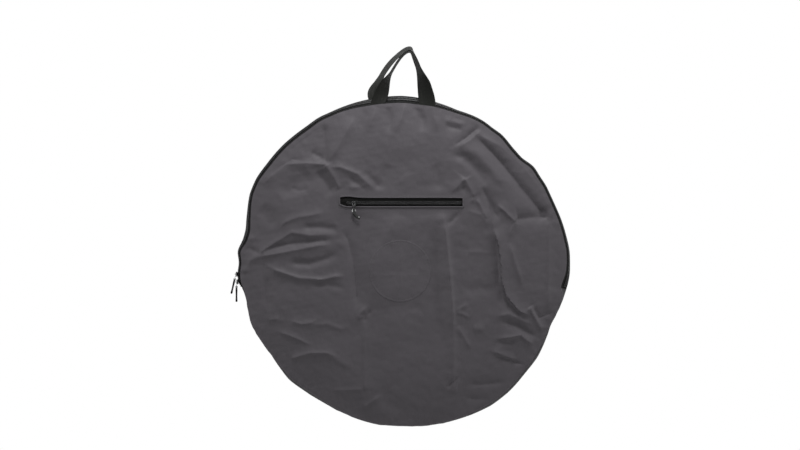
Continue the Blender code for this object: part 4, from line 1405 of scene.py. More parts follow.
@dataclass
class ClothPanel:
    """One round panel: a fine outer face and a coarser inner one, closed at seam and window."""

    name: str
    form: ClothForm
    cells: int = 272
    straight_to: float = 0.42
    rim_steps: Points = ((0.0004, 0.0007), (0.0012, 0.0016))
    inner_shrink: float = 0.0016
    window_fade: float = 0.15
    shrink_from: Pair = (0.30, 0.37)

    def cut(self) -> tuple:
        """Flat round cut on a square grid.

        A square mesh stays square in the middle. Towards the edge its points slide to the
        round map that sends each square ring to a circle. Lines beside the pocket's window are
        moved onto its edges.

        Returns:
            X and Z of the grid's points, and the window's first and last columns and rows.
        """
        line = np.linspace(-1.0, 1.0, self.cells + 1)
        u, v = np.meshgrid(line, line)
        ring = np.maximum(np.abs(u), np.abs(v))
        wide = np.abs(u) >= np.abs(v)
        safe_u, safe_v = np.where(u == 0.0, 1.0, u), np.where(v == 0.0, 1.0, v)
        turn = np.where(wide, v / safe_u, u / safe_v) * math.pi / 4
        round_x = np.where(wide, u * np.cos(turn), v * np.sin(turn))
        round_z = np.where(wide, u * np.sin(turn), v * np.cos(turn))
        share = smooth(ring, self.straight_to, 1.0)
        radius = self.form.size.radius
        x = (u * (1.0 - share) + round_x * share) * radius
        z = (v * (1.0 - share) + round_z * share) * radius
        window = self.form.window
        if window is None:
            return x, z, None
        keep = 1.0 - smooth(ring, self.straight_to, self.straight_to + self.window_fade)
        edges = [int(round((value / radius + 1.0) * self.cells / 4)) * 2
                 for value in window.grown(0.0)]
        on_line = line * radius
        x_from = (-radius, on_line[edges[0]], on_line[edges[1]], radius)
        z_from = (-radius, on_line[edges[2]], on_line[edges[3]], radius)
        x = x + (np.interp(x, x_from, (-radius, window.left, window.right, radius)) - x) * keep
        z = z + (np.interp(z, z_from, (-radius, window.low, window.high, radius)) - z) * keep
        return x, z, edges

    @staticmethod
    def lowest_near(height: Array, reach: int = 2) -> Array:
        """Lowest height within a few cells of each point.

        Args:
            height: Heights on a grid.
            reach: Number of cells to each side.

        Returns:
            The lowest heights, on the same grid.
        """
        rows, columns = height.shape
        padded = np.pad(height, reach, mode="edge")
        lowest = height.copy()
        for down in range(2 * reach + 1):
            for across in range(2 * reach + 1):
                lowest = np.minimum(lowest, padded[down:down + rows, across:across + columns])
        return lowest

    @staticmethod
    def loop(numbers: Array) -> Array:
        """Numbers round the edge of a block, anticlockwise from its first corner."""
        return np.concatenate((numbers[0, :-1], numbers[:-1, -1], numbers[-1, :0:-1],
                               numbers[:0:-1, 0]))

    @staticmethod
    def bridge(fine: Array, coarse: Array) -> list:
        """Faces between a loop and one with half as many points.

        Args:
            fine: Point numbers of the loop with more points.
            coarse: Point numbers of the other one.

        Returns:
            The faces.
        """
        count = len(coarse)
        faces = []
        for k in range(count):
            first, second, third = fine[2 * k], fine[2 * k + 1], fine[(2 * k + 2) % len(fine)]
            faces.append((first, second, coarse[k]))
            faces.append((second, third, coarse[(k + 1) % count], coarse[k]))
        return faces

    @staticmethod
    def outside_of(faces: Array, columns: int, step: int, window: list) -> Array:
        """Faces of a grid that lie outside the window.

        Args:
            faces: The grid's faces.
            columns: Points in a row of the grid.
            step: Fine cells to one of its cells.
            window: First and last column and row of the window, in fine cells.

        Returns:
            The faces that are kept.
        """
        left, right, low, high = window
        row, column = faces[:, 0] // columns * step, faces[:, 0] % columns * step
        return faces[~((row >= low) & (row < high) & (column >= left) & (column < right))]

    def shape(self) -> Shape:
        """Both faces of the cloth, the turned-in seam and the window's edge.

        Returns:
            The closed shape. The inner face has every second point of the outer one.
        """
        form, side = self.form, self.form.side.value
        x, z, window = self.cut()
        px, out, pz = form.place(x, z)
        count, half = self.cells + 1, self.cells // 2 + 1
        fine, coarse = (np.arange(n * n).reshape(n, n) for n in (count, half))
        outer = joined(px, side * out, pz).reshape(-1, 3)
        flat = joined(x, z)
        faces, inner_faces = quads(count, count), quads(half, half)
        loops = []
        if window:
            faces = self.outside_of(faces, count, 1, window)
            inner_faces = self.outside_of(inner_faces, half, 2, window)
            left, right, low, high = window
            loops.append((self.loop(fine[low:high + 1, left:right + 1]),
                          self.loop(coarse[low // 2:high // 2 + 1, left // 2:right // 2 + 1])))
        lowest = self.lowest_near(out)[::2, ::2] - form.size.cloth
        px, pz = px[::2, ::2], pz[::2, ::2]
        radius = np.hypot(px, pz)
        shrink = 1.0 - self.inner_shrink * smooth(radius, *self.shrink_from) / np.maximum(
            radius, self.shrink_from[0])
        edge = seam = self.loop(fine)
        points, places = [outer], [flat.reshape(-1, 2)]
        total, extra = len(outer), []
        for drawn_in, sunk in self.rim_steps:
            ring = outer[edge].copy()
            ring[:, [0, 2]] *= 1.0 - drawn_in / np.hypot(ring[:, 0], ring[:, 2])[:, None]
            ring[:, 1] -= side * sunk
            numbers = np.arange(total, total + len(ring))
            extra += np.stack((seam, np.roll(seam, -1), np.roll(numbers, -1), numbers), 1).tolist()
            points.append(ring)
            places.append(places[0][edge])
            total += len(ring)
            seam = numbers
        points.append(joined(px * shrink, side * lowest, pz * shrink).reshape(-1, 3))
        places.append(flat[::2, ::2].reshape(-1, 2))
        for fine_loop, coarse_loop in [(seam, self.loop(coarse)), *loops]:
            extra += self.bridge(fine_loop, coarse_loop + total)
        faces = faces.tolist() + extra
        outside = len(faces)
        faces += (inner_faces[:, ::-1] + total).tolist()
        return Shape(np.concatenate(points) + MIDDLE, faces, np.concatenate(places), outside)

    def build(self, finishes: Finishes, dressing: Dressing) -> None:
        """The panel's object.

        Args:
            finishes: Materials.
            dressing: How the panel rides.
        """
        piece = finished(self.name, self.shape(), [finishes.cloth, finishes.coated], dressing,
                         CLOTH_EDGES)
        width = 2 * self.form.size.radius
        math.pi * width ** 2 / 4


@dataclass
class HubCircle:
    """Round piece of cloth sewn over the hub, with a folded edge and a ring of stitches."""

    form: ClothForm
    middle: Pair = (-0.0046, -0.0194)
    radius: float = 0.070
    lift: float = 0.0005
    under: float = -0.0005
    face_runs: tuple = ((0.0006, 0.060, 16), (0.0612, 0.0692, 15))
    edge: Points = ((0.0, 0.00045), (0.0005, 0.0002), (0.0003, -0.0005))
    back_radii: tuple[float, ...] = (0.060, 0.030, 0.0006)
    groove_in: float = 0.0048
    groove: Pair = (-0.0001, 0.0013)
    roll_in: float = 0.0019
    roll: Pair = (0.0001, 0.0018)
    ripple: float = 0.00012
    ripple_waves: float = 61.0
    ripple_shift: float = 2.0
    ripple_shifts: float = 5.0
    ripple_run: Pair = (0.050, 0.066)
    columns: int = 200
    stitch: Triple = (0.0025, 0.0005, 0.0003)
    stitch_sunk: float = 0.0002
    pitch: float = 0.0037

    def profile(self) -> Array:
        """Section of the piece: its lift, with a bell curve for the rolled edge and the groove.

        Returns:
            Radius and lift over the panel, from the middle out over the edge and back below.
        """
        radii = np.concatenate([np.linspace(*run) for run in self.face_runs])
        rise = self.lift
        for inward, (high, wide) in ((self.roll_in, self.roll), (self.groove_in, self.groove)):
            rise = rise + high * hump(radii - (self.radius - inward), wide)
        edge = np.array(self.edge) + (self.radius, 0.0)
        return np.concatenate((joined(radii, rise), edge, joined(self.back_radii, self.under)))

    def ring_points(self, radius: Array, lift: Array, turn: Array) -> Array:
        """Points at radii round the circle's middle, lifted off the panel."""
        x, z = self.middle
        return self.form.points(x + radius * np.cos(turn), z + radius * np.sin(turn), lift)

    def cloth(self) -> Shape:
        """The profile turned about its middle, with small gathers at its edge.

        Returns:
            The round piece.
        """
        turn = round_turn(self.columns)[None]
        radius, lift = (part[:, None] for part in self.profile().T)
        shift = self.ripple_shift * np.sin(turn * self.ripple_shifts)
        ripple = np.sin(turn * self.ripple_waves + shift) * self.ripple
        lift = lift + ripple * smooth(radius, *self.ripple_run) * (lift > 0.0)
        radius, lift, turn = np.broadcast_arrays(radius, lift, turn)
        flat = joined(radius * np.cos(turn), radius * np.sin(turn)) + self.middle
        return loft(self.ring_points(radius, lift, turn), flat=flat)

    def stitches(self) -> Shape:
        """Ring of stitches in the groove beside the folded edge.

        Returns:
            The stitches.
        """
        turn = np.linspace(0.0, math.tau, 2 * self.columns)
        radius = self.radius - self.groove_in
        path = self.ring_points(radius, self.lift - self.stitch_sunk, turn)
        x, z = self.middle[0] + radius * np.cos(turn), self.middle[1] + radius * np.sin(turn)
        return stitched(path, self.form.normals(x, z), self.stitch, self.pitch)

    def build(self, name: str, finishes: Finishes, dressing: Dressing) -> None:
        """Both pieces of the circle.

        Args:
            name: Start of their names.
            finishes: Materials.
            dressing: How the cloth piece rides, which its stitches follow.
        """
        piece = finished(name, self.cloth(), [finishes.cloth], dressing, ROUND_EDGES)
        2 * self.radius
        2 * self.radius
        math.pi * self.radius ** 2
        finished(name + "_stitching", self.stitches(), [finishes.thread],
                 replace(dressing, stands_for=()))


# Rim


@dataclass(frozen=True)
class Coil:
    """Half of a zip's nylon coil, which both zips of the bag are made of."""

    pitch: float = 0.0016
    rib_thick: float = 0.00078
    rib_high: float = 0.0020
    cords: Pair = (0.0016, 0.0024)
    cord_radius: float = 0.0002


@dataclass
class RimBand:
    """Long zip over the top and cloth gusset round the bottom, between the two panels.

    A section is a list of points: how far across the band, and how high over its outer face.
    """

    size: BagSizes
    rim: RimShape
    coil: Coil = Coil()
    row_degrees: float = 0.75
    rib_length: float = 0.0038
    rib_overlap: float = 0.0004
    cord_sunk: float = 0.00012
    cord_half_wide: float = 0.00022
    coil_inset: float = 1.05
    stitch: Triple = (0.0026, 0.0006, 0.00045)
    stitch_pitch: float = 0.0036
    stitch_up: float = 0.0002
    tape_stitch_at: float = 0.0058
    gusset_stitch_at: float = 0.0059
    gusset_stitch_up: float = 0.0005
    gusset_stitch_inset: float = 0.4
    gusset_gap: float = 0.03
    gusset_dome: float = 0.0011
    seam_turn: float = 0.0034
    tape_thick: float = 0.0010
    tape_face: Points = ((0.003, 0.0), (0.005, 0.00015))
    tape_back: float = 0.004
    edge_in: float = 0.0014
    edge_round: Points = ((-0.0005, -0.0002), (-0.0001, -0.0009))
    allowance: float = 0.0012
    tape_inner: Pair = (-0.0013, -0.0013)
    gusset_inner: Pair = (-0.0014, -0.0014)
    dome_points: int = 9
    stop_inset: float = 0.72
    stop_half: float = 0.0032
    stop_high: float = 0.0020
    stop_wire: Pair = (0.00125, 0.0005)
    flutter: float = 0.0004
    flutter_wave: tuple = (7, 0.05, 0.014, 9)
    flutter_from_seam: float = 0.003
    cord: float = 0.0011
    cord_at: Pair = (0.0002, 0.0006)

    def sweep(self, start: float, end: float, profile: Array, flutter: float = 0.0) -> Shape:
        """A closed section carried round the band.

        Args:
            start: First angle in degrees.
            end: Last angle in degrees.
            profile: Across and up of each point of the section.
            flutter: Height of soft unevenness along the band.

        Returns:
            The strip.
        """
        rows = max(3, int(math.ceil(abs(end - start) / self.row_degrees)) + 1)
        angle = np.radians(np.linspace(start, end, rows))[:, None]
        across, up = profile[None, :, 0], profile[None, :, 1]
        flat = joined(angle * self.size.radius, across)
        wave = rumple(flat[..., 0], flat[..., 1], *self.flutter_wave)
        free = smooth(self.size.half_band - np.abs(across), 0.0, self.flutter_from_seam)
        return loft(self.rim.on_band(angle, across, up + wave * flutter * free), flat=flat)

    def turned_in(self, inner: Pair) -> Array:
        """Edge of a section, rounded and turned into the bag along the seam.

        Args:
            inner: Its last point, from the band's edge.

        Returns:
            Across and up of its points.
        """
        edge = (*self.edge_round, (0.0, -self.seam_turn), (-self.allowance, -self.seam_turn), inner)
        return np.array(edge) + (self.size.half_band, 0.0)

    def tape_section(self, sign: float) -> Array:
        """Section of one tape, from the slit out to the seam, where it turns into the bag.

        Args:
            sign: Side of the slit, 1 or -1.

        Returns:
            The section.
        """
        slit = self.size.slit_half
        face = ((slit, 0.0), *self.tape_face, (self.size.half_band - self.edge_in, 0.0))
        back = ((self.tape_back, -self.tape_thick), (slit, -self.tape_thick))
        return np.concatenate((face, self.turned_in(self.tape_inner), back)) * (sign, 1.0)

    def gusset_section(self) -> Array:
        """Section of the cloth gusset: slightly domed, with both edges turned into the bag.

        Returns:
            The section.
        """
        flat_half = self.size.half_band - self.edge_in
        across = np.linspace(-flat_half, flat_half, self.dome_points)
        dome = self.gusset_dome * (1.0 - (across / self.size.half_band) ** 2)
        edge = self.turned_in(self.gusset_inner)
        return np.concatenate((joined(across, dome), edge, edge[::-1] * (-1.0, 1.0)))

    def arc(self, start: float, end: float, across: float, up: float) -> tuple:
        """Path along the band, with its outward directions.

        Args:
            start: First angle in degrees.
            end: Last angle in degrees.
            across: Y of the path.
            up: Its height over the band.

        Returns:
            Points and directions.
        """
        angle = np.radians(np.linspace(start, end, int(abs(end - start) * 4) + 4))
        return self.rim.on_band(angle, across, up), self.rim.band_out(angle)

    def teeth(self, start: float, end: float, sign: float) -> Shape:
        """Half of the coil: one rounded rib for each turn of the nylon, and its two cords.

        Args:
            start: First angle in degrees.
            end: Last angle in degrees.
            sign: Side of the slit, 1 or -1.

        Returns:
            The ribs and the cords.
        """
        size, coil = self.size, self.coil
        reach = size.coil_half + self.rib_overlap - self.rib_length / 2
        path, out = self.arc(start, end, sign * reach, size.coil_up + size.coil_high / 2)
        first = 0.0 if sign > 0 else coil.pitch / 2
        origins, axes = path_frames(path, out, coil.pitch, first)
        rib = bead(self.rib_length, coil.rib_thick, coil.rib_high)
        shape = repeated(rib, origins, axes[:, (1, 0, 2)])
        turn = round_turn(THREAD_SIDES)
        top = size.coil_up + size.coil_high - self.cord_sunk
        for cord in coil.cords:
            section = joined(sign * cord + self.cord_half_wide * np.cos(turn),
                             top + coil.cord_radius * np.sin(turn))
            shape = shape + self.sweep(start, end, section)
        return shape

    def stitching(self, start: float, end: float, across: float, up: float) -> Shape:
        """Row of stitches along the band.

        Args:
            start: First angle in degrees.
            end: Last angle in degrees.
            across: Y of the row.
            up: Its height over the band.

        Returns:
            The stitches.
        """
        path, out = self.arc(start, end, across, up)
        return stitched(path, out, self.stitch, self.stitch_pitch, self.stitch_pitch / 2)

    def stop(self, angle: float) -> Shape:
        """End stop: a bent metal staple over both halves of the coil.

        Args:
            angle: Its place in degrees.

        Returns:
            The staple.
        """
        turn = np.linspace(0.0, math.pi, ARCH_POINTS)[:, None]
        section = round_turn(WIRE_SIDES)
        half_wide, half_thick = self.stop_wire
        spin = np.degrees(half_wide / self.size.radius) * np.cos(section)
        up = self.size.coil_up + self.stitch_up + self.stop_high * np.sin(turn) ** 0.5
        return loft(self.rim.on_band(np.radians(angle + spin), self.stop_half * np.cos(turn),
                                     up + half_thick * np.sin(section)))

    def dressing(self, name: str, kind: str) -> Dressing:
        """How half of the zip rides: the front one lies between bag and flap.

        Args:
            name: Front or rear.
            kind: Tape or coil.

        Returns:
            The dressing.
        """
        slot, node = "zip_" + kind, "main_zip_%s_%s" % (name, kind)
        if name == "rear":
            return Dressing(slot, Body.BAG, (node,))
        return self.size.across_fold(slot, node, node + "_left_end", node + "_right_end")

    def long_zip(self, finishes: Finishes, low: float, high: float) -> None:
        """Tapes, coil, stitching and stops of the long zip.

        Args:
            finishes: Materials.
            low: First angle of the tapes, in degrees.
            high: Last angle of the tapes.
        """
        coil_low, coil_high = low + self.coil_inset, high - self.coil_inset
        for name, sign in (("front", -1.0), ("rear", 1.0)):
            tape, coil = self.dressing(name, "tape"), self.dressing(name, "coil")
            strip = self.sweep(low, high, self.tape_section(sign), self.flutter)
            finished("long_zip_%s_tape" % name, strip, [finishes.tape], tape, ZIP_EDGES)
            finished("long_zip_%s_coil" % name, self.teeth(coil_low, coil_high, sign),
                     [finishes.coil], coil, ZIP_EDGES)
            stitches = self.stitching(low, high, sign * self.tape_stitch_at, self.stitch_up)
            finished("long_zip_%s_stitching" % name, stitches, [finishes.black_thread],
                     replace(tape, stands_for=()))
        for name, angle in (("right", low + self.stop_inset), ("left", high - self.stop_inset)):
            finished("long_zip_%s_stop" % name, self.stop(angle), [finishes.enamel],
                     Dressing("zip_metal", Body.BAG, ("main_zip_%s_stop" % name,)))

    def gusset(self, finishes: Finishes, start: float, end: float) -> None:
        """Cloth gusset, the cord in its front seam and its stitches.

        Args:
            finishes: Materials.
            start: Its first angle, in degrees.
            end: Its last angle.
        """
        dressing = Dressing("cloth", Body.BAG)
        strip = self.sweep(start, end, self.gusset_section(), 2.0 * self.flutter)
        # The gusset's darker colour is painted shade.
        piece = finished("rim_gusset", strip, [finishes.painted_shade_rim_cloth],
                         replace(dressing, stands_for=("bottom_gusset",)), CLOTH_EDGES)
        math.radians(end - start) * self.size.radius
        spin = round_turn(ROD_SIDES)
        out, sunk = self.cord_at
        cord = joined(self.cord * np.cos(spin) - self.size.half_band - out,
                      self.cord * np.sin(spin) - sunk)
        finished("rim_front_seam_cord", self.sweep(start, end, cord), [finishes.cloth], dressing,
                 CLOTH_EDGES)
        front, rear = (self.stitching(start + self.gusset_stitch_inset,
                                      end - self.gusset_stitch_inset,
                                      sign * self.gusset_stitch_at, self.gusset_stitch_up)
                       for sign in (-1.0, 1.0))
        finished("rim_gusset_stitching", front + rear, [finishes.thread], dressing)

    def build(self, finishes: Finishes) -> None:
        """The long zip over the top and the gusset below it.

        Args:
            finishes: Materials.
        """
        low, high = -self.size.zip_end, FULL_TURN / 2 + self.size.zip_end
        self.long_zip(finishes, low, high)
        self.gusset(finishes, high - FULL_TURN + self.gusset_gap, low - self.gusset_gap)


# Sliders


@dataclass
class ZipSlider:
    """Cast slider with a wire ring and a moulded grip, on a chain along its own X."""

    matrix: Array
    length: float = 0.012
    half_width: float = 0.0046
    plate_low: float = 0.0029
    plate_high: float = 0.0040
    lip: float = 0.0011
    under_high: float = -0.0018
    under_low: float = -0.0029
    ring_height: float = 0.0052
    ring_pitch: float = 0.0115
    ring_half: float = 0.0024
    wire: float = 0.0006
    ring_corner: float = 0.0016
    ring_corner_points: int = 7
    plate_rims: Points = ((0.0, 0.90), (0.12, 0.97), (0.3, 1.0), (0.7, 1.0), (0.88, 0.97),
                          (1.0, 0.90))
    plate_points: int = 40
    nose_power: float = 0.5
    side_power: float = 0.42
    narrow: float = 0.84
    narrow_run: Pair = (-0.004, 0.001)
    under_share: float = 0.97
    lip_reach: float = 0.0052
    lip_height: float = 0.0019
    lip_points: int = 9
    lip_radius: float = 0.00055
    lip_end_radius: float = 0.00035
    post_at: float = 0.003
    post_span: tuple = (-0.0022, 0.0033, 5)
    post_radius: float = 0.0003
    bridge_half: float = 0.0030
    bridge_foot: float = 0.0036
    bridge_high: float = 0.0031
    bridge_power: float = 0.62
    bridge_points: int = 17
    bridge_wire: float = 0.00052
    bridge_flat: float = 2.3
    grip_length: float = 0.034
    grip_half_width: float = 0.0043
    grip_half_thick: float = 0.0022
    neck: float = 0.0015
    rib_high: float = 0.00022
    rib_waves: float = 88.0
    rib_start: Pair = (0.50, 0.56)
    rib_end: Pair = (0.08, 0.14)
    grip_runs: tuple = ((0.0, 0.9, 34), (0.92, 1.0, 10))
    grip_points: int = 20
    grip_power: float = 0.7
    eye: Pair = (0.0018, 0.00085)
    eye_points: int = 24
    eye_flat: float = 1.5
    keel: Points = ((-1.0, 0.0), (-0.9, 0.16), (-0.34, 0.88), (-0.16, 1.0), (0.16, 1.0),
                    (0.34, 0.88), (0.9, 0.16), (1.0, 0.0), (0.7, -0.6), (-0.7, -0.6))
    stations: tuple[float, ...] = (0.0, 0.05, 0.13, 0.24, 0.40, 0.55, 0.70, 0.85, 0.94, 0.985, 1.0)
    widths: tuple[float, ...] = (0.33, 0.60, 0.88, 1.0, 0.97, 0.92, 0.88, 0.87, 0.84, 0.66, 0.30)
    depths: tuple[float, ...] = (0.90, 0.96, 1.0, 0.96, 0.86, 0.82, 0.84, 0.98, 1.0, 0.80, 0.35)

    def plate(self, low: float, high: float, shrink: float) -> Shape:
        """Flat shield-shaped plate: a rounded outline, stacked with smaller rims above and below.

        Args:
            low: Its lower face.
            high: Its upper face.
            shrink: Size of its outline against the slider's.

        Returns:
            The plate.
        """
        turn = round_turn(self.plate_points)
        x = powered(np.cos(turn), self.nose_power) * self.length / 2 * shrink
        y = powered(np.sin(turn), self.side_power) * self.half_width * self.shoulder(x) * shrink
        share, inset = np.array(self.plate_rims).T[..., None]
        return loft(joined(x * inset, y * inset, low + (high - low) * share))

    def shoulder(self, x: Array) -> Array:
        """Share of the slider's width at a place along it: narrower towards the ring's end."""
        return self.narrow + (1.0 - self.narrow) * smooth(x, *self.narrow_run)

    def cast_body(self) -> Shape:
        """Upper and lower plate, post, both lips and the bridge that holds the ring.

        Returns:
            The slider without its ring. The bridge is a flattened arch of wire.
        """
        shape = self.plate(self.plate_low, self.plate_high, 1.0)
        shape = shape + self.plate(self.under_low, self.under_high, self.under_share)
        along = np.linspace(-self.lip_reach, self.lip_reach, self.lip_points)
        wide = (self.half_width - self.lip / 2) * self.shoulder(along)
        radii = np.full(self.lip_points, self.lip_radius)
        radii[[0, -1]] = self.lip_end_radius
        for sign in (-1.0, 1.0):
            shape = shape + tube(joined(along, sign * wide, self.lip_height), radii, ROD_SIDES)
        post = joined(self.post_at, 0.0, np.linspace(*self.post_span))
        turn = np.linspace(0.0, math.pi, self.bridge_points)
        arch = tube(joined(-self.bridge_half * np.cos(turn), 0.0,
                           self.bridge_foot + self.bridge_high * np.sin(turn) ** self.bridge_power),
                    self.bridge_wire, WIRE_SIDES)
        arch.points[:, 1] *= self.bridge_flat
        return shape + tube(post, self.post_radius, ROD_SIDES) + arch

    def ring(self) -> Shape:
        """Wire ring: a round wire along a rectangle with rounded corners.

        Returns:
            The ring.
        """
        path = rounded_rectangle(-self.ring_pitch, 0.0, -self.ring_half, self.ring_half,
                                 self.ring_corner, self.ring_corner_points)
        return tube(joined(path[:, 0], path[:, 1], 0.0), self.wire, WIRE_SIDES, closed=True)

    def grip(self, bend_degrees: float) -> Shape:
        """Moulded grip along -X: rounded sections that swell and thin, on a line that may bend.

        Args:
            bend_degrees: Turn of its free end against its neck.

        Returns:
            The grip with the eye round the ring's wire.
        """
        run = self.grip_length - self.neck
        share = np.concatenate([np.linspace(*run) for run in self.grip_runs])
        width = np.interp(share, self.stations, self.widths) * self.grip_half_width
        depth = np.interp(share, self.stations, self.depths) * self.grip_half_thick
        depth = depth + (self.rib_high * np.sin(share * self.rib_waves)
                         * smooth(share, *self.rib_start) * smooth(1.0 - share, *self.rib_end))
        bend, straight = math.radians(bend_degrees), self.stations[3]
        past = np.maximum(share - straight, 0.0) / (1.0 - straight)
        along = self.neck + run * np.minimum(share, straight)
        if bend:
            arm = run * (1.0 - straight) / bend
            along = along + arm * np.sin(bend * past)
            aside = arm * (1.0 - np.cos(bend * past))
        else:
            along, aside = along + run * (1.0 - straight) * past, 0.0 * past
        turn = round_turn(self.grip_points)
        section = np.array(self.keel).T if bend else powered(
            np.array((np.cos(turn), np.sin(turn))), self.grip_power)
        wide, up = section[:, None] * np.array((width, depth))[..., None]
        lean = (bend * past)[:, None]
        rings = joined(-(along[:, None] - wide * np.sin(lean)),
                       aside[:, None] + wide * np.cos(lean), up)
        radius, wire = self.eye
        turn = round_turn(self.eye_points)
        eye = tube(joined(radius * np.cos(turn), 0.0, radius * np.sin(turn)), wire, WIRE_SIDES,
                   closed=True)
        eye.points[:, 1] *= self.eye_flat
        return loft(rings) + eye

    def build(self, name: str, finishes: Finishes, ring_turn: Array, bend: float = 0.0) -> None:
        """Slider, ring and grip.

        Args:
            name: Name of its bodies in the frame, such as upper or pocket.
            finishes: Materials.
            ring_turn: Place of the ring against the slider.
            bend: Bend of the grip in degrees.
        """
        at_ring = self.matrix @ moved(0.0, 0.0, self.ring_height) @ ring_turn
        at_grip = at_ring @ moved(-self.ring_pitch, 0.0, 0.0)
        ring_finish = finishes.dark_metal if bend else finishes.metal
        grip_finish = finishes.glossy if bend else finishes.rubber
        for part, shape, place, material, slot in (
                ("slider", self.cast_body(), self.matrix, finishes.enamel, "zip_metal"),
                ("link", self.ring(), at_ring, ring_finish, "zip_metal"),
                ("grip", self.grip(bend), at_grip, grip_finish, "grip_rubber")):
            node = "%s_slider_%s" % (name, "body" if part == "slider" else part)
            finished("%s_zip_%s" % (name, part), shape.at(place), [material],
                     Dressing(slot, Body("%s_%s" % (name, part)), (node,)), CAST_EDGES)


@dataclass
class LongZipSliders:
    """The two sliders parked at the left end of the long zip."""

    size: BagSizes
    upper_drop: float = 0.027
    parking_pitch: float = 0.0172
    upper_lean: float = 17.0

    def build(self, finishes: Finishes) -> None:
        """Both sliders, their rings and grips.

        Args:
            finishes: Materials.
        """
        lower_drop = self.upper_drop + self.parking_pitch
        plumb = math.degrees(math.asin(lower_drop / self.size.radius))
        for name, drop, lean in (("upper", self.upper_drop, self.upper_lean),
                                 ("lower", lower_drop, plumb)):
            turn = 90.0 + math.degrees(math.asin(drop / self.size.radius))
            matrix = moved(*MIDDLE) @ turned("Y", -turn) @ moved(0.0, 0.0, self.size.radius)
            ZipSlider(matrix).build(name, finishes, turned("Y", lean))


# Pocket


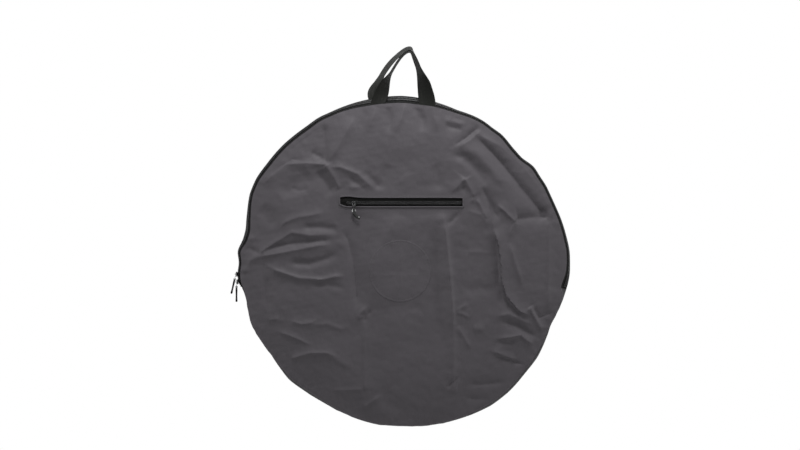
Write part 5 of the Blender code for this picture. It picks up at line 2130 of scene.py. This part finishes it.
@dataclass
class Pocket:
    """Pocket zip in the front panel's window, its slider, and the lining bag behind it."""

    form: ClothForm
    window: Window
    coil: Coil = Coil()
    level: float = 0.135
    face: float = 0.0210
    tape_out: float = 0.0206
    tape_section: Points = ((0.0006, 0.0), (0.004, 0.0), (0.0072, 0.0001), (0.0088, 0.0016),
                            (0.0140, 0.0026), (0.0140, 0.0034), (0.0086, 0.0025),
                            (0.0070, 0.0010), (0.0006, 0.0009))
    tape_past_window: float = 0.003
    sway: float = 0.0002
    sway_waves: float = 95.0
    sway_run: Pair = (0.004, 0.007)
    left_stop_in: float = 0.0170
    right_stop_in: float = 0.0040
    stop_half: float = 0.0031
    stop_foot: float = 0.0004
    stop_high: float = 0.0017
    stop_beyond: float = 0.00125
    stop_wire: float = 0.0005
    stop_flat: float = 2.2
    rib_length: float = 0.0034
    rib_at: float = 0.0013
    first_rib: float = 0.0006
    last_rib: float = 0.0004
    cord_points: int = 60
    cord_high: float = 0.0022
    slider_from_stop: float = 0.0170
    ring_drop: float = 0.0035
    bend: float = -80.0
    stitch: Triple = (0.0025, 0.0006, 0.0005)
    stitch_pitch: float = 0.0034
    stitch_in: float = 0.0022
    stitch_lift: float = 0.0001
    stitch_step: float = 0.002
    hem_corner: float = 0.0022
    hem_corner_points: int = 5
    hem_out: float = 0.0008
    hem_lift: float = 0.0004
    hem_radius: float = 0.0014
    hem_step: float = 0.003
    bag_low: float = 0.008
    bag_high: float = 0.1532
    bag_side: float = 0.004
    bag_belly: float = 0.0052
    belly_powers: tuple[int, int] = (6, 5)
    sheet_rows: tuple[int, int, int] = (44, 5, 52)
    under_window: float = 0.0015
    over_window: float = 0.0045
    front_behind: float = 0.0024
    front_sinks: float = 0.0018
    front_sinks_run: Pair = (0.106, 0.117)
    rear_behind: float = 0.0032
    rear_sinks: float = 0.0024
    rear_sinks_run: Pair = (0.40, 0.54)
    top_behind: float = 0.0049
    sheet: float = 0.0006
    columns: int = 96

    def strip(self, sign: float) -> Shape:
        """One tape: flat beside the coil, bent back into the bag behind the window's edge.

        Args:
            sign: Side of the slit, 1 or -1.

        Returns:
            The tape. Its section is a list of distances from the slit and depths behind its face.
        """
        section = np.array(self.tape_section)
        x = np.linspace(self.window.left - self.tape_past_window,
                        self.window.right + self.tape_past_window, self.columns)[:, None]
        behind = smooth(section[:, 0], *self.sway_run)
        wider = max(sign, 0.0) * (self.window.high + self.window.low - 2.0 * self.level)
        reach = sign * (section[:, 0] + wider * behind)
        out = self.tape_out - section[:, 1] + self.sway * np.sin(x * self.sway_waves) * behind
        return loft(joined(x, -out, self.level + reach) + MIDDLE, flat=joined(x, reach))

    def stops(self) -> tuple:
        """Inner ends of the left and the right stop."""
        return self.window.left + self.left_stop_in, self.window.right - self.right_stop_in

    def teeth(self, sign: float) -> Shape:
        """Half of the coil: a rounded rib for each turn of the nylon, and its two cords.

        Args:
            sign: Side of the slit, 1 or -1.

        Returns:
            The ribs and the cords.
        """
        left, right = self.stops()
        first = self.first_rib + (0.0 if sign > 0 else self.coil.pitch / 2)
        x = np.arange(left + first, right - self.last_rib, self.coil.pitch)
        origins = joined(x, -(self.face + self.rib_at), self.level + sign * self.rib_at) + MIDDLE
        axes = np.broadcast_to(np.array(((0.0, 0.0, 1.0), (1.0, 0.0, 0.0), (0.0, -1.0, 0.0))),
                               (len(x), 3, 3))
        shape = repeated(bead(self.rib_length, self.coil.rib_thick, self.coil.rib_high), origins,
                         axes)
        for cord in self.coil.cords:
            path = joined(np.linspace(left, right, self.cord_points), -(self.face + self.cord_high),
                          self.level + sign * cord) + MIDDLE
            shape = shape + tube(path, self.coil.cord_radius, THREAD_SIDES)
        return shape

    def stop(self, x: float) -> Shape:
        """Metal staple over the end of the coil.

        Args:
            x: Its place, from the bag's middle.

        Returns:
            The staple: a bent wire, made wider along the zip.
        """
        turn = np.linspace(0.0, math.pi, ARCH_POINTS)
        up = self.stop_foot + self.stop_high * np.sin(turn) ** 0.5
        staple = tube(joined(x, -(self.face + up), self.level + self.stop_half * np.cos(turn))
                      + MIDDLE, self.stop_wire, ROD_SIDES)
        middle = x + MIDDLE[0]
        staple.points[:, 0] = middle + (staple.points[:, 0] - middle) * self.stop_flat
        return staple

    def hem_stitches(self) -> Shape:
        """Row of stitches round the window, on the folded cloth.

        Returns:
            The stitches.
        """
        left, right, low, high = self.window.grown(self.window.hem - self.stitch_in)
        corners = ((left, low), (right, low), (right, high), (left, high), (left, low))
        runs = []
        for (x0, z0), (x1, z1) in zip(corners[:-1], corners[1:]):
            count = max(4, int(max(abs(x1 - x0), abs(z1 - z0)) / self.stitch_step))
            x, z = np.linspace(x0, x1, count), np.linspace(z0, z1, count)
            runs.append(stitched(self.form.points(x, z, self.stitch_lift), self.form.normals(x, z),
                                 self.stitch, self.stitch_pitch, self.stitch_pitch / 2))
        return runs[0] + runs[1] + runs[2] + runs[3]

    def rolled_hem(self) -> Shape:
        """Rolled edge of the cloth round the window: a thin cord along a rounded rectangle.

        Returns:
            The cord.
        """
        ring = rounded_rectangle(*self.window.grown(self.hem_out), self.hem_corner,
                                 self.hem_corner_points)
        runs = []
        for start, end in zip(ring, np.roll(ring, -1, 0)):
            steps = max(1, int(np.linalg.norm(end - start) / self.hem_step))
            share = np.linspace(0.0, 1.0, steps, endpoint=False)[:, None]
            runs.append(start + (end - start) * share)
        x, z = np.concatenate(runs).T
        lifted = self.form.points(x, z, self.hem_lift)
        return tube(lifted, self.hem_radius, ROD_SIDES, closed=True)

    def lining(self, z_low: float, z_high: float, behind: Array, rows: int) -> Shape:
        """Thin sheet behind the panel, which it follows at a distance.

        Args:
            z_low: Its lower edge.
            z_high: Its upper edge.
            behind: Distance of its front face behind the panel's, rows by columns.
            rows: Rows of points.

        Returns:
            The sheet.
        """
        x, z = np.meshgrid(np.linspace(self.window.left - self.bag_side,
                                       self.window.right + self.bag_side, self.columns),
                           np.linspace(z_low, z_high, rows))
        out = ClothPanel.lowest_near(self.form.place(x, z)[1], 1) - behind
        front, back, flat = joined(x, -out, z), joined(x, self.sheet - out, z), joined(x, z)
        return loft(np.concatenate((front, back[:, ::-1]), 1) + MIDDLE,
                    flat=np.concatenate((flat, flat[:, ::-1]), 1))

    def chain(self, finishes: Finishes) -> None:
        """Tapes, coil and stops of the pocket's zip.

        Args:
            finishes: Materials.
        """
        left, right = self.stops()
        for name, sign in (("upper", 1.0), ("lower", -1.0)):
            finished("pocket_%s_zip_tape" % name, self.strip(sign), [finishes.tape],
                     Dressing("zip_tape", Body.FLAP, ("pocket_zip_%s_tape" % name,)), ZIP_EDGES)
            finished("pocket_%s_zip_coil" % name, self.teeth(sign), [finishes.coil],
                     Dressing("zip_coil", Body.FLAP, ("pocket_zip_%s_coil" % name,)), ZIP_EDGES)
        for name, x in (("left", left - self.stop_beyond), ("right", right + self.stop_beyond)):
            finished("pocket_zip_%s_staple" % name, self.stop(x), [finishes.enamel],
                     Dressing("zip_metal", Body.FLAP, ("pocket_zip_%s_stop" % name,)))

    def slider(self, finishes: Finishes) -> None:
        """Slider near the left stop, with its ring and its bent grip hanging down.

        Args:
            finishes: Materials.
        """
        x = self.stops()[0] + self.slider_from_stop
        slider = ZipSlider(moved(*MIDDLE) @ moved(x, -self.face, self.level) @ turned("X", 90.0))
        hang = moved(-slider.ring_half, self.ring_drop, 0.0) @ turned("Z", 90.0)
        slider.build("pocket", finishes, hang, self.bend)

    def bag(self, finishes: Finishes) -> None:
        """Front and rear sheet of the lining bag.

        Args:
            finishes: Materials.
        """
        window, (rows, top_rows, rear_rows) = self.window, self.sheet_rows
        top = window.low - self.under_window
        rise = np.linspace(self.bag_low, top, rows)[:, None]
        sinks = self.front_sinks * smooth(rise, *self.front_sinks_run)
        lower = self.lining(self.bag_low, top, self.front_behind + sinks, rows)
        upper = self.lining(window.high + self.over_window, self.bag_high,
                            np.full((top_rows, 1), self.top_behind), top_rows)
        piece = finished("pocket_lining_front", lower + upper, [finishes.lining],
                         Dressing("lining", Body.FLAP, ("pocket_bag_front_sheet",)), ZIP_EDGES)
        width = window.right - window.left + 2 * self.bag_side
        high = self.bag_high - self.bag_low
        mouth = window.high - window.low + self.under_window + self.over_window
        width * (high - mouth)
        across = np.linspace(-1.0, 1.0, self.columns)[None]
        up = np.linspace(-1.0, 1.0, rear_rows)[:, None]
        side_power, end_power = self.belly_powers
        belly = (1.0 - across ** side_power) * (1.0 - np.abs(up) ** end_power)
        behind = self.rear_behind + self.rear_sinks * smooth(up, *self.rear_sinks_run)
        behind = behind + self.bag_belly * belly
        rear = self.lining(self.bag_low, self.bag_high, behind, rear_rows)
        piece = finished("pocket_lining_rear", rear, [finishes.lining],
                         Dressing("lining", Body.FLAP,
                                  ("pocket_bag_seam", "pocket_bag_rear_sheet")), ZIP_EDGES)

    def build(self, finishes: Finishes) -> None:
        """Zip, hem, stitches, slider and lining bag.

        Args:
            finishes: Materials.
        """
        self.chain(finishes)
        finished("pocket_rolled_hem", self.rolled_hem(), [finishes.cloth],
                 Dressing("cloth", Body.FLAP))
        finished("pocket_hem_stitching", self.hem_stitches(), [finishes.thread],
                 Dressing("cloth", Body.FLAP))
        self.slider(finishes)
        self.bag(finishes)


# Handles


@dataclass(frozen=True)
class Leg:
    """One leg of a handle.

    Its curve is drawn outwards by bulge, and runs level near the top for a share of its width.
    It has turned by a share of a quarter when it is turned_at up its length.
    """

    bulge: float = -0.004
    level_share: float = 0.16
    turned: float = 0.85
    turned_at: float = 0.56


@dataclass
class Handle:
    """Webbing loop, sewn into one panel's seam and turned on edge at its top."""

    side: Side
    rise: float
    legs: tuple[Leg, Leg]
    rim: RimShape
    half_spacing: float = 0.058
    width: float = 0.038
    thick: float = 0.0018
    base_out: float = 0.0082
    tuck: float = 0.0040
    base_overlap: float = 0.0030
    gap_between: float = 0.002
    upright_share: float = 0.30
    leg_easing: float = 0.33
    hang_drop: float = 0.477
    hang_shift: float = 0.018
    tilt_from: float = 0.72
    apart_run: Pair = (0.25, 0.85)
    edge_power: float = 14.0
    section_points: int = 15
    rows: int = 121
    ease: float = 0.018
    hinge_height: float = 0.36394
    bend_below: float = 0.004

    def seam_height(self, x: Array) -> Array:
        """Height of the seam that holds the webbing, less the length tucked into it.

        Args:
            x: X from the bag's middle.

        Returns:
            Z from it.
        """
        angle = np.arctan2(np.sqrt(self.rim.size.radius ** 2 - x ** 2), x)
        radius = self.rim.seam_radius(angle, self.side) - self.tuck
        return np.sqrt(radius ** 2 - x ** 2)

    def rings(self) -> tuple:
        """Sections of the webbing.

        Each leg's middle line is a cubic curve from the seam to the top. The webbing lies flat
        on its panel at the seam, and turns a quarter about its own line on the way up.

        Returns:
            Points as rows by points by three, and their flat places.
        """
        radius = self.rim.size.radius
        share = np.linspace(0.0, 1.0, self.rows)
        on_left = share <= 0.5
        way = np.where(on_left, 1.0, -1.0)[:, None]
        bulge, level_share, turned, turned_at = (
            np.where(on_left, left, right)
            for left, right in zip(astuple(self.legs[0]), astuple(self.legs[1])))
        up = 1.0 - np.abs(2.0 * share - 1.0)
        leg = up[:, None]
        rest = 1.0 - leg
        base = math.sqrt((radius - self.base_overlap) ** 2 - self.half_spacing ** 2)
        start = np.concatenate((-way * self.half_spacing, np.full_like(way, base)), 1)
        top = np.array((self.hang_shift, self.hang_drop + (self.rise + self.thick) / 2))
        first = start + np.concatenate((-way * bulge[:, None],
                                        np.full_like(way, (top[1] - base) * self.upright_share)), 1)
        second = np.stack((top[0] - (top[0] - start[:, 0]) * level_share,
                           np.full(self.rows, top[1])), 1)
        middle = (start * rest ** 3 + 3 * first * rest ** 2 * leg + 3 * second * rest * leg ** 2
                  + top * leg ** 3)
        slope = ((first - start) * rest ** 2 + (second - first) * 2 * rest * leg
                 + (top - second) * leg ** 2)
        slope = unit(slope) * way
        turn = turned * smooth(up, 0.0, turned_at)
        turn = math.pi / 2 * (turn + (1.0 - turned) * smooth(up, turned_at, 1.0))[:, None]
        easing = 1.0 - self.leg_easing * (1.0 - smooth(up, self.tilt_from, 1.0))
        tilt = math.asin(self.rise / self.width) * easing
        side = self.side.value
        along = joined(slope[:, 0], 0.0, slope[:, 1])
        sideways = joined(slope[:, 1], 0.0, -slope[:, 0])
        level = joined(0.0, -side * np.cos(tilt), -np.sin(tilt))
        level = unit(level - along * np.sum(along * level, axis=1)[:, None])
        across = unit(sideways * np.cos(turn) + level * np.sin(turn))
        normal = np.cross(along, across)
        top_out = (self.gap_between + self.width) / 2
        apart = np.where(on_left, smooth(up, *self.apart_run), np.sin(turn[:, 0]))
        depth = self.base_out + (top_out - self.base_out) * apart
        centre = joined(middle[:, 0], side * depth, middle[:, 1])
        reach = np.sin(np.linspace(-math.pi / 2, math.pi / 2, self.section_points))
        edge = np.sqrt(np.clip(1.0 - np.abs(reach) ** self.edge_power, 0.0, 1.0))
        reach = reach * self.width / 2
        section = np.concatenate((joined(reach, edge), joined(reach, -edge)[-2:0:-1]))
        offset = section[:, 1] * self.thick / 2
        rings = (centre[:, None] + across[:, None] * section[None, :, :1]
                 + normal[:, None] * offset[None, :, None])
        ends = rings[np.where(on_left, 0, -1)]
        lift = self.seam_height(ends[..., 0]) - ends[..., 2]
        rings[..., 2] += lift * np.maximum(0.0, 1.0 - leg / self.upright_share)
        return rings + MIDDLE, joined(run_along(centre)[:, None], section[None, :, 0])

    def build(self, finishes: Finishes) -> None:
        """The loop, with two bodies and a stretch just above its seam.

        Args:
            finishes: Materials.
        """
        name, held_by, body = {
            Side.FRONT: ("front_handle", Body.FLAP, Body.FRONT_HANDLE),
            Side.REAR: ("rear_handle", Body.BAG, Body.REAR_HANDLE)}[self.side]
        rings, flat = self.rings()
        low = MIDDLE[2] + self.hinge_height - self.bend_below
        finished(name + "_loop", loft(rings, flat=flat), [finishes.webbing],
                 Dressing("webbing", None, (name,), (held_by, body), (0.0, 0.0, low),
                          (0.0, 0.0, low + self.ease)), ROUND_EDGES)


# Studio


@dataclass(frozen=True)
class Lamp:
    """One soft rectangular light that points at the bag."""

    name: str
    place: tuple[float, float, float]
    size: float
    power: float

    def build(self) -> None:
        """The light's object."""
        data = bpy.data.lights.new(self.name, 'AREA')
        data.shape = 'SQUARE'
        data.size = self.size
        data.energy = self.power
        lamp = bpy.data.objects.new(self.name, data)
        lamp.location = self.place
        way = Vector(MIDDLE) - Vector(self.place)
        lamp.rotation_euler = way.to_track_quat('-Z', 'Y').to_euler()
        bpy.context.collection.objects.link(lamp)


@dataclass
class Studio:
    """Camera at the picture's level view, soft lights, pale floor and white surroundings."""

    picture_width: int = 800
    metres_per_pixel: float = 0.00228
    picture_middle: Pair = (-0.0228, -0.392)
    distance: float = 3.2
    sensor_mm: float = 36.0
    floor_height: float = -1.45
    floor_radius: float = 3.3
    floor_points: int = 96
    floor_finish: SolidFinish = SolidFinish("pale_floor", (0.86, 0.86, 0.86), 0.9, grain=0.4,
                                            relief=0.0, marks=0.01)
    surround: float = 0.16
    lamps: tuple[Lamp, ...] = (
        Lamp("top_light", (0.05, -0.6, 0.95), 0.5, 25.0),
        Lamp("left_light", (-1.7, -0.6, -0.4), 0.45, 8.0),
        Lamp("right_light", (2.9, -0.8, -0.3), 0.7, 30.0),
        Lamp("rear_light", (0.4, 2.2, 0.9), 1.4, 24.0),
    )

    def camera(self) -> None:
        """Level camera whose frame is the picture's at the bag's middle plane."""
        data = bpy.data.cameras.new("camera")
        data.sensor_width = self.sensor_mm
        data.lens = self.sensor_mm * self.distance / (self.picture_width * self.metres_per_pixel)
        camera = bpy.data.objects.new("camera", data)
        camera.location = (self.picture_middle[0], -self.distance, self.picture_middle[1])
        camera.rotation_euler = (math.pi / 2, 0.0, 0.0)
        bpy.context.collection.objects.link(camera)
        bpy.context.scene.camera = camera

    def world(self) -> None:
        """White to the camera and in reflections, and a weaker fill light for all else."""
        world = bpy.data.worlds.new("surroundings")
        world.use_nodes = True
        bpy.context.scene.world = world
        nodes, links = world.node_tree.nodes, world.node_tree.links
        path = nodes.new("ShaderNodeLightPath")
        seen = path.outputs["Is Camera Ray"]
        for ray in ("Is Transmission Ray", "Is Glossy Ray"):
            either = nodes.new("ShaderNodeMath")
            either.operation = "MAXIMUM"
            links.new(seen, either.inputs[0])
            links.new(path.outputs[ray], either.inputs[1])
            seen = either.outputs[0]
        level = nodes.new("ShaderNodeMapRange")
        level.inputs["To Min"].default_value = self.surround
        level.inputs["To Max"].default_value = 1.0
        links.new(seen, level.inputs["Value"])
        background = nodes["Background"]
        background.inputs["Color"].default_value = (1.0, 1.0, 1.0, 1.0)
        links.new(level.outputs[0], background.inputs["Strength"])

    def floor(self) -> None:
        """Pale round floor below the hanging bag."""
        turn = round_turn(self.floor_points)
        points = joined(self.floor_radius * np.cos(turn), self.floor_radius * np.sin(turn),
                        self.floor_height)
        mesh = bpy.data.meshes.new("floor")
        mesh.from_pydata(points.tolist(), [], [tuple(range(len(points)))])
        mesh.materials.append(self.floor_finish.build())
        floor = bpy.data.objects.new("floor", mesh)
        bpy.context.collection.objects.link(floor)

    def build(self) -> None:
        """Camera, lights, floor and surroundings."""
        self.camera()
        self.world()
        self.floor()
        for lamp in self.lamps:
            lamp.build()
        bpy.context.scene.view_settings.view_transform = 'Standard'


def main() -> None:
    """Build the bag piece by piece round the frame, then the studio."""
    logging.basicConfig(level=logging.INFO, format="%(message)s")
    finishes = Finishes()
    size = BagSizes()
    rim = RimShape(size)
    window = Window()
    front = ClothForm(size, rim, Side.FRONT, FRONT_CREASES, seed=11, window=window)
    rear = ClothForm(size, rim, Side.REAR, REAR_CREASES, seed=23)
    ClothPanel("front_cloth", front).build(finishes, size.across_fold(
        "cloth", "front_panel_upper", "front_panel_lower"))
    ClothPanel("rear_cloth", rear).build(finishes, Dressing("cloth", Body.BAG, ("rear_panel",)))
    HubCircle(front).build("front_hub_circle", finishes, size.across_fold(
        "cloth", "front_hub_patch_upper", "front_hub_patch_lower"))
    HubCircle(rear).build("rear_hub_circle", finishes,
                          Dressing("cloth", Body.BAG, ("rear_hub_patch",)))
    RimBand(size, rim).build(finishes)
    LongZipSliders(size).build(finishes)
    Pocket(front, window).build(finishes)
    front_left = Leg(bulge=-0.018, level_share=0.317, turned=0.96, turned_at=0.50)
    rear_left = Leg(bulge=0.0155, level_share=0.42, turned=0.87, turned_at=0.43)
    Handle(Side.FRONT, rise=0.0015, legs=(front_left, Leg()), rim=rim).build(finishes)
    Handle(Side.REAR, rise=0.019, legs=(rear_left, Leg()), rim=rim).build(finishes)
    Studio().build()


if __name__ == "__main__":
    main()
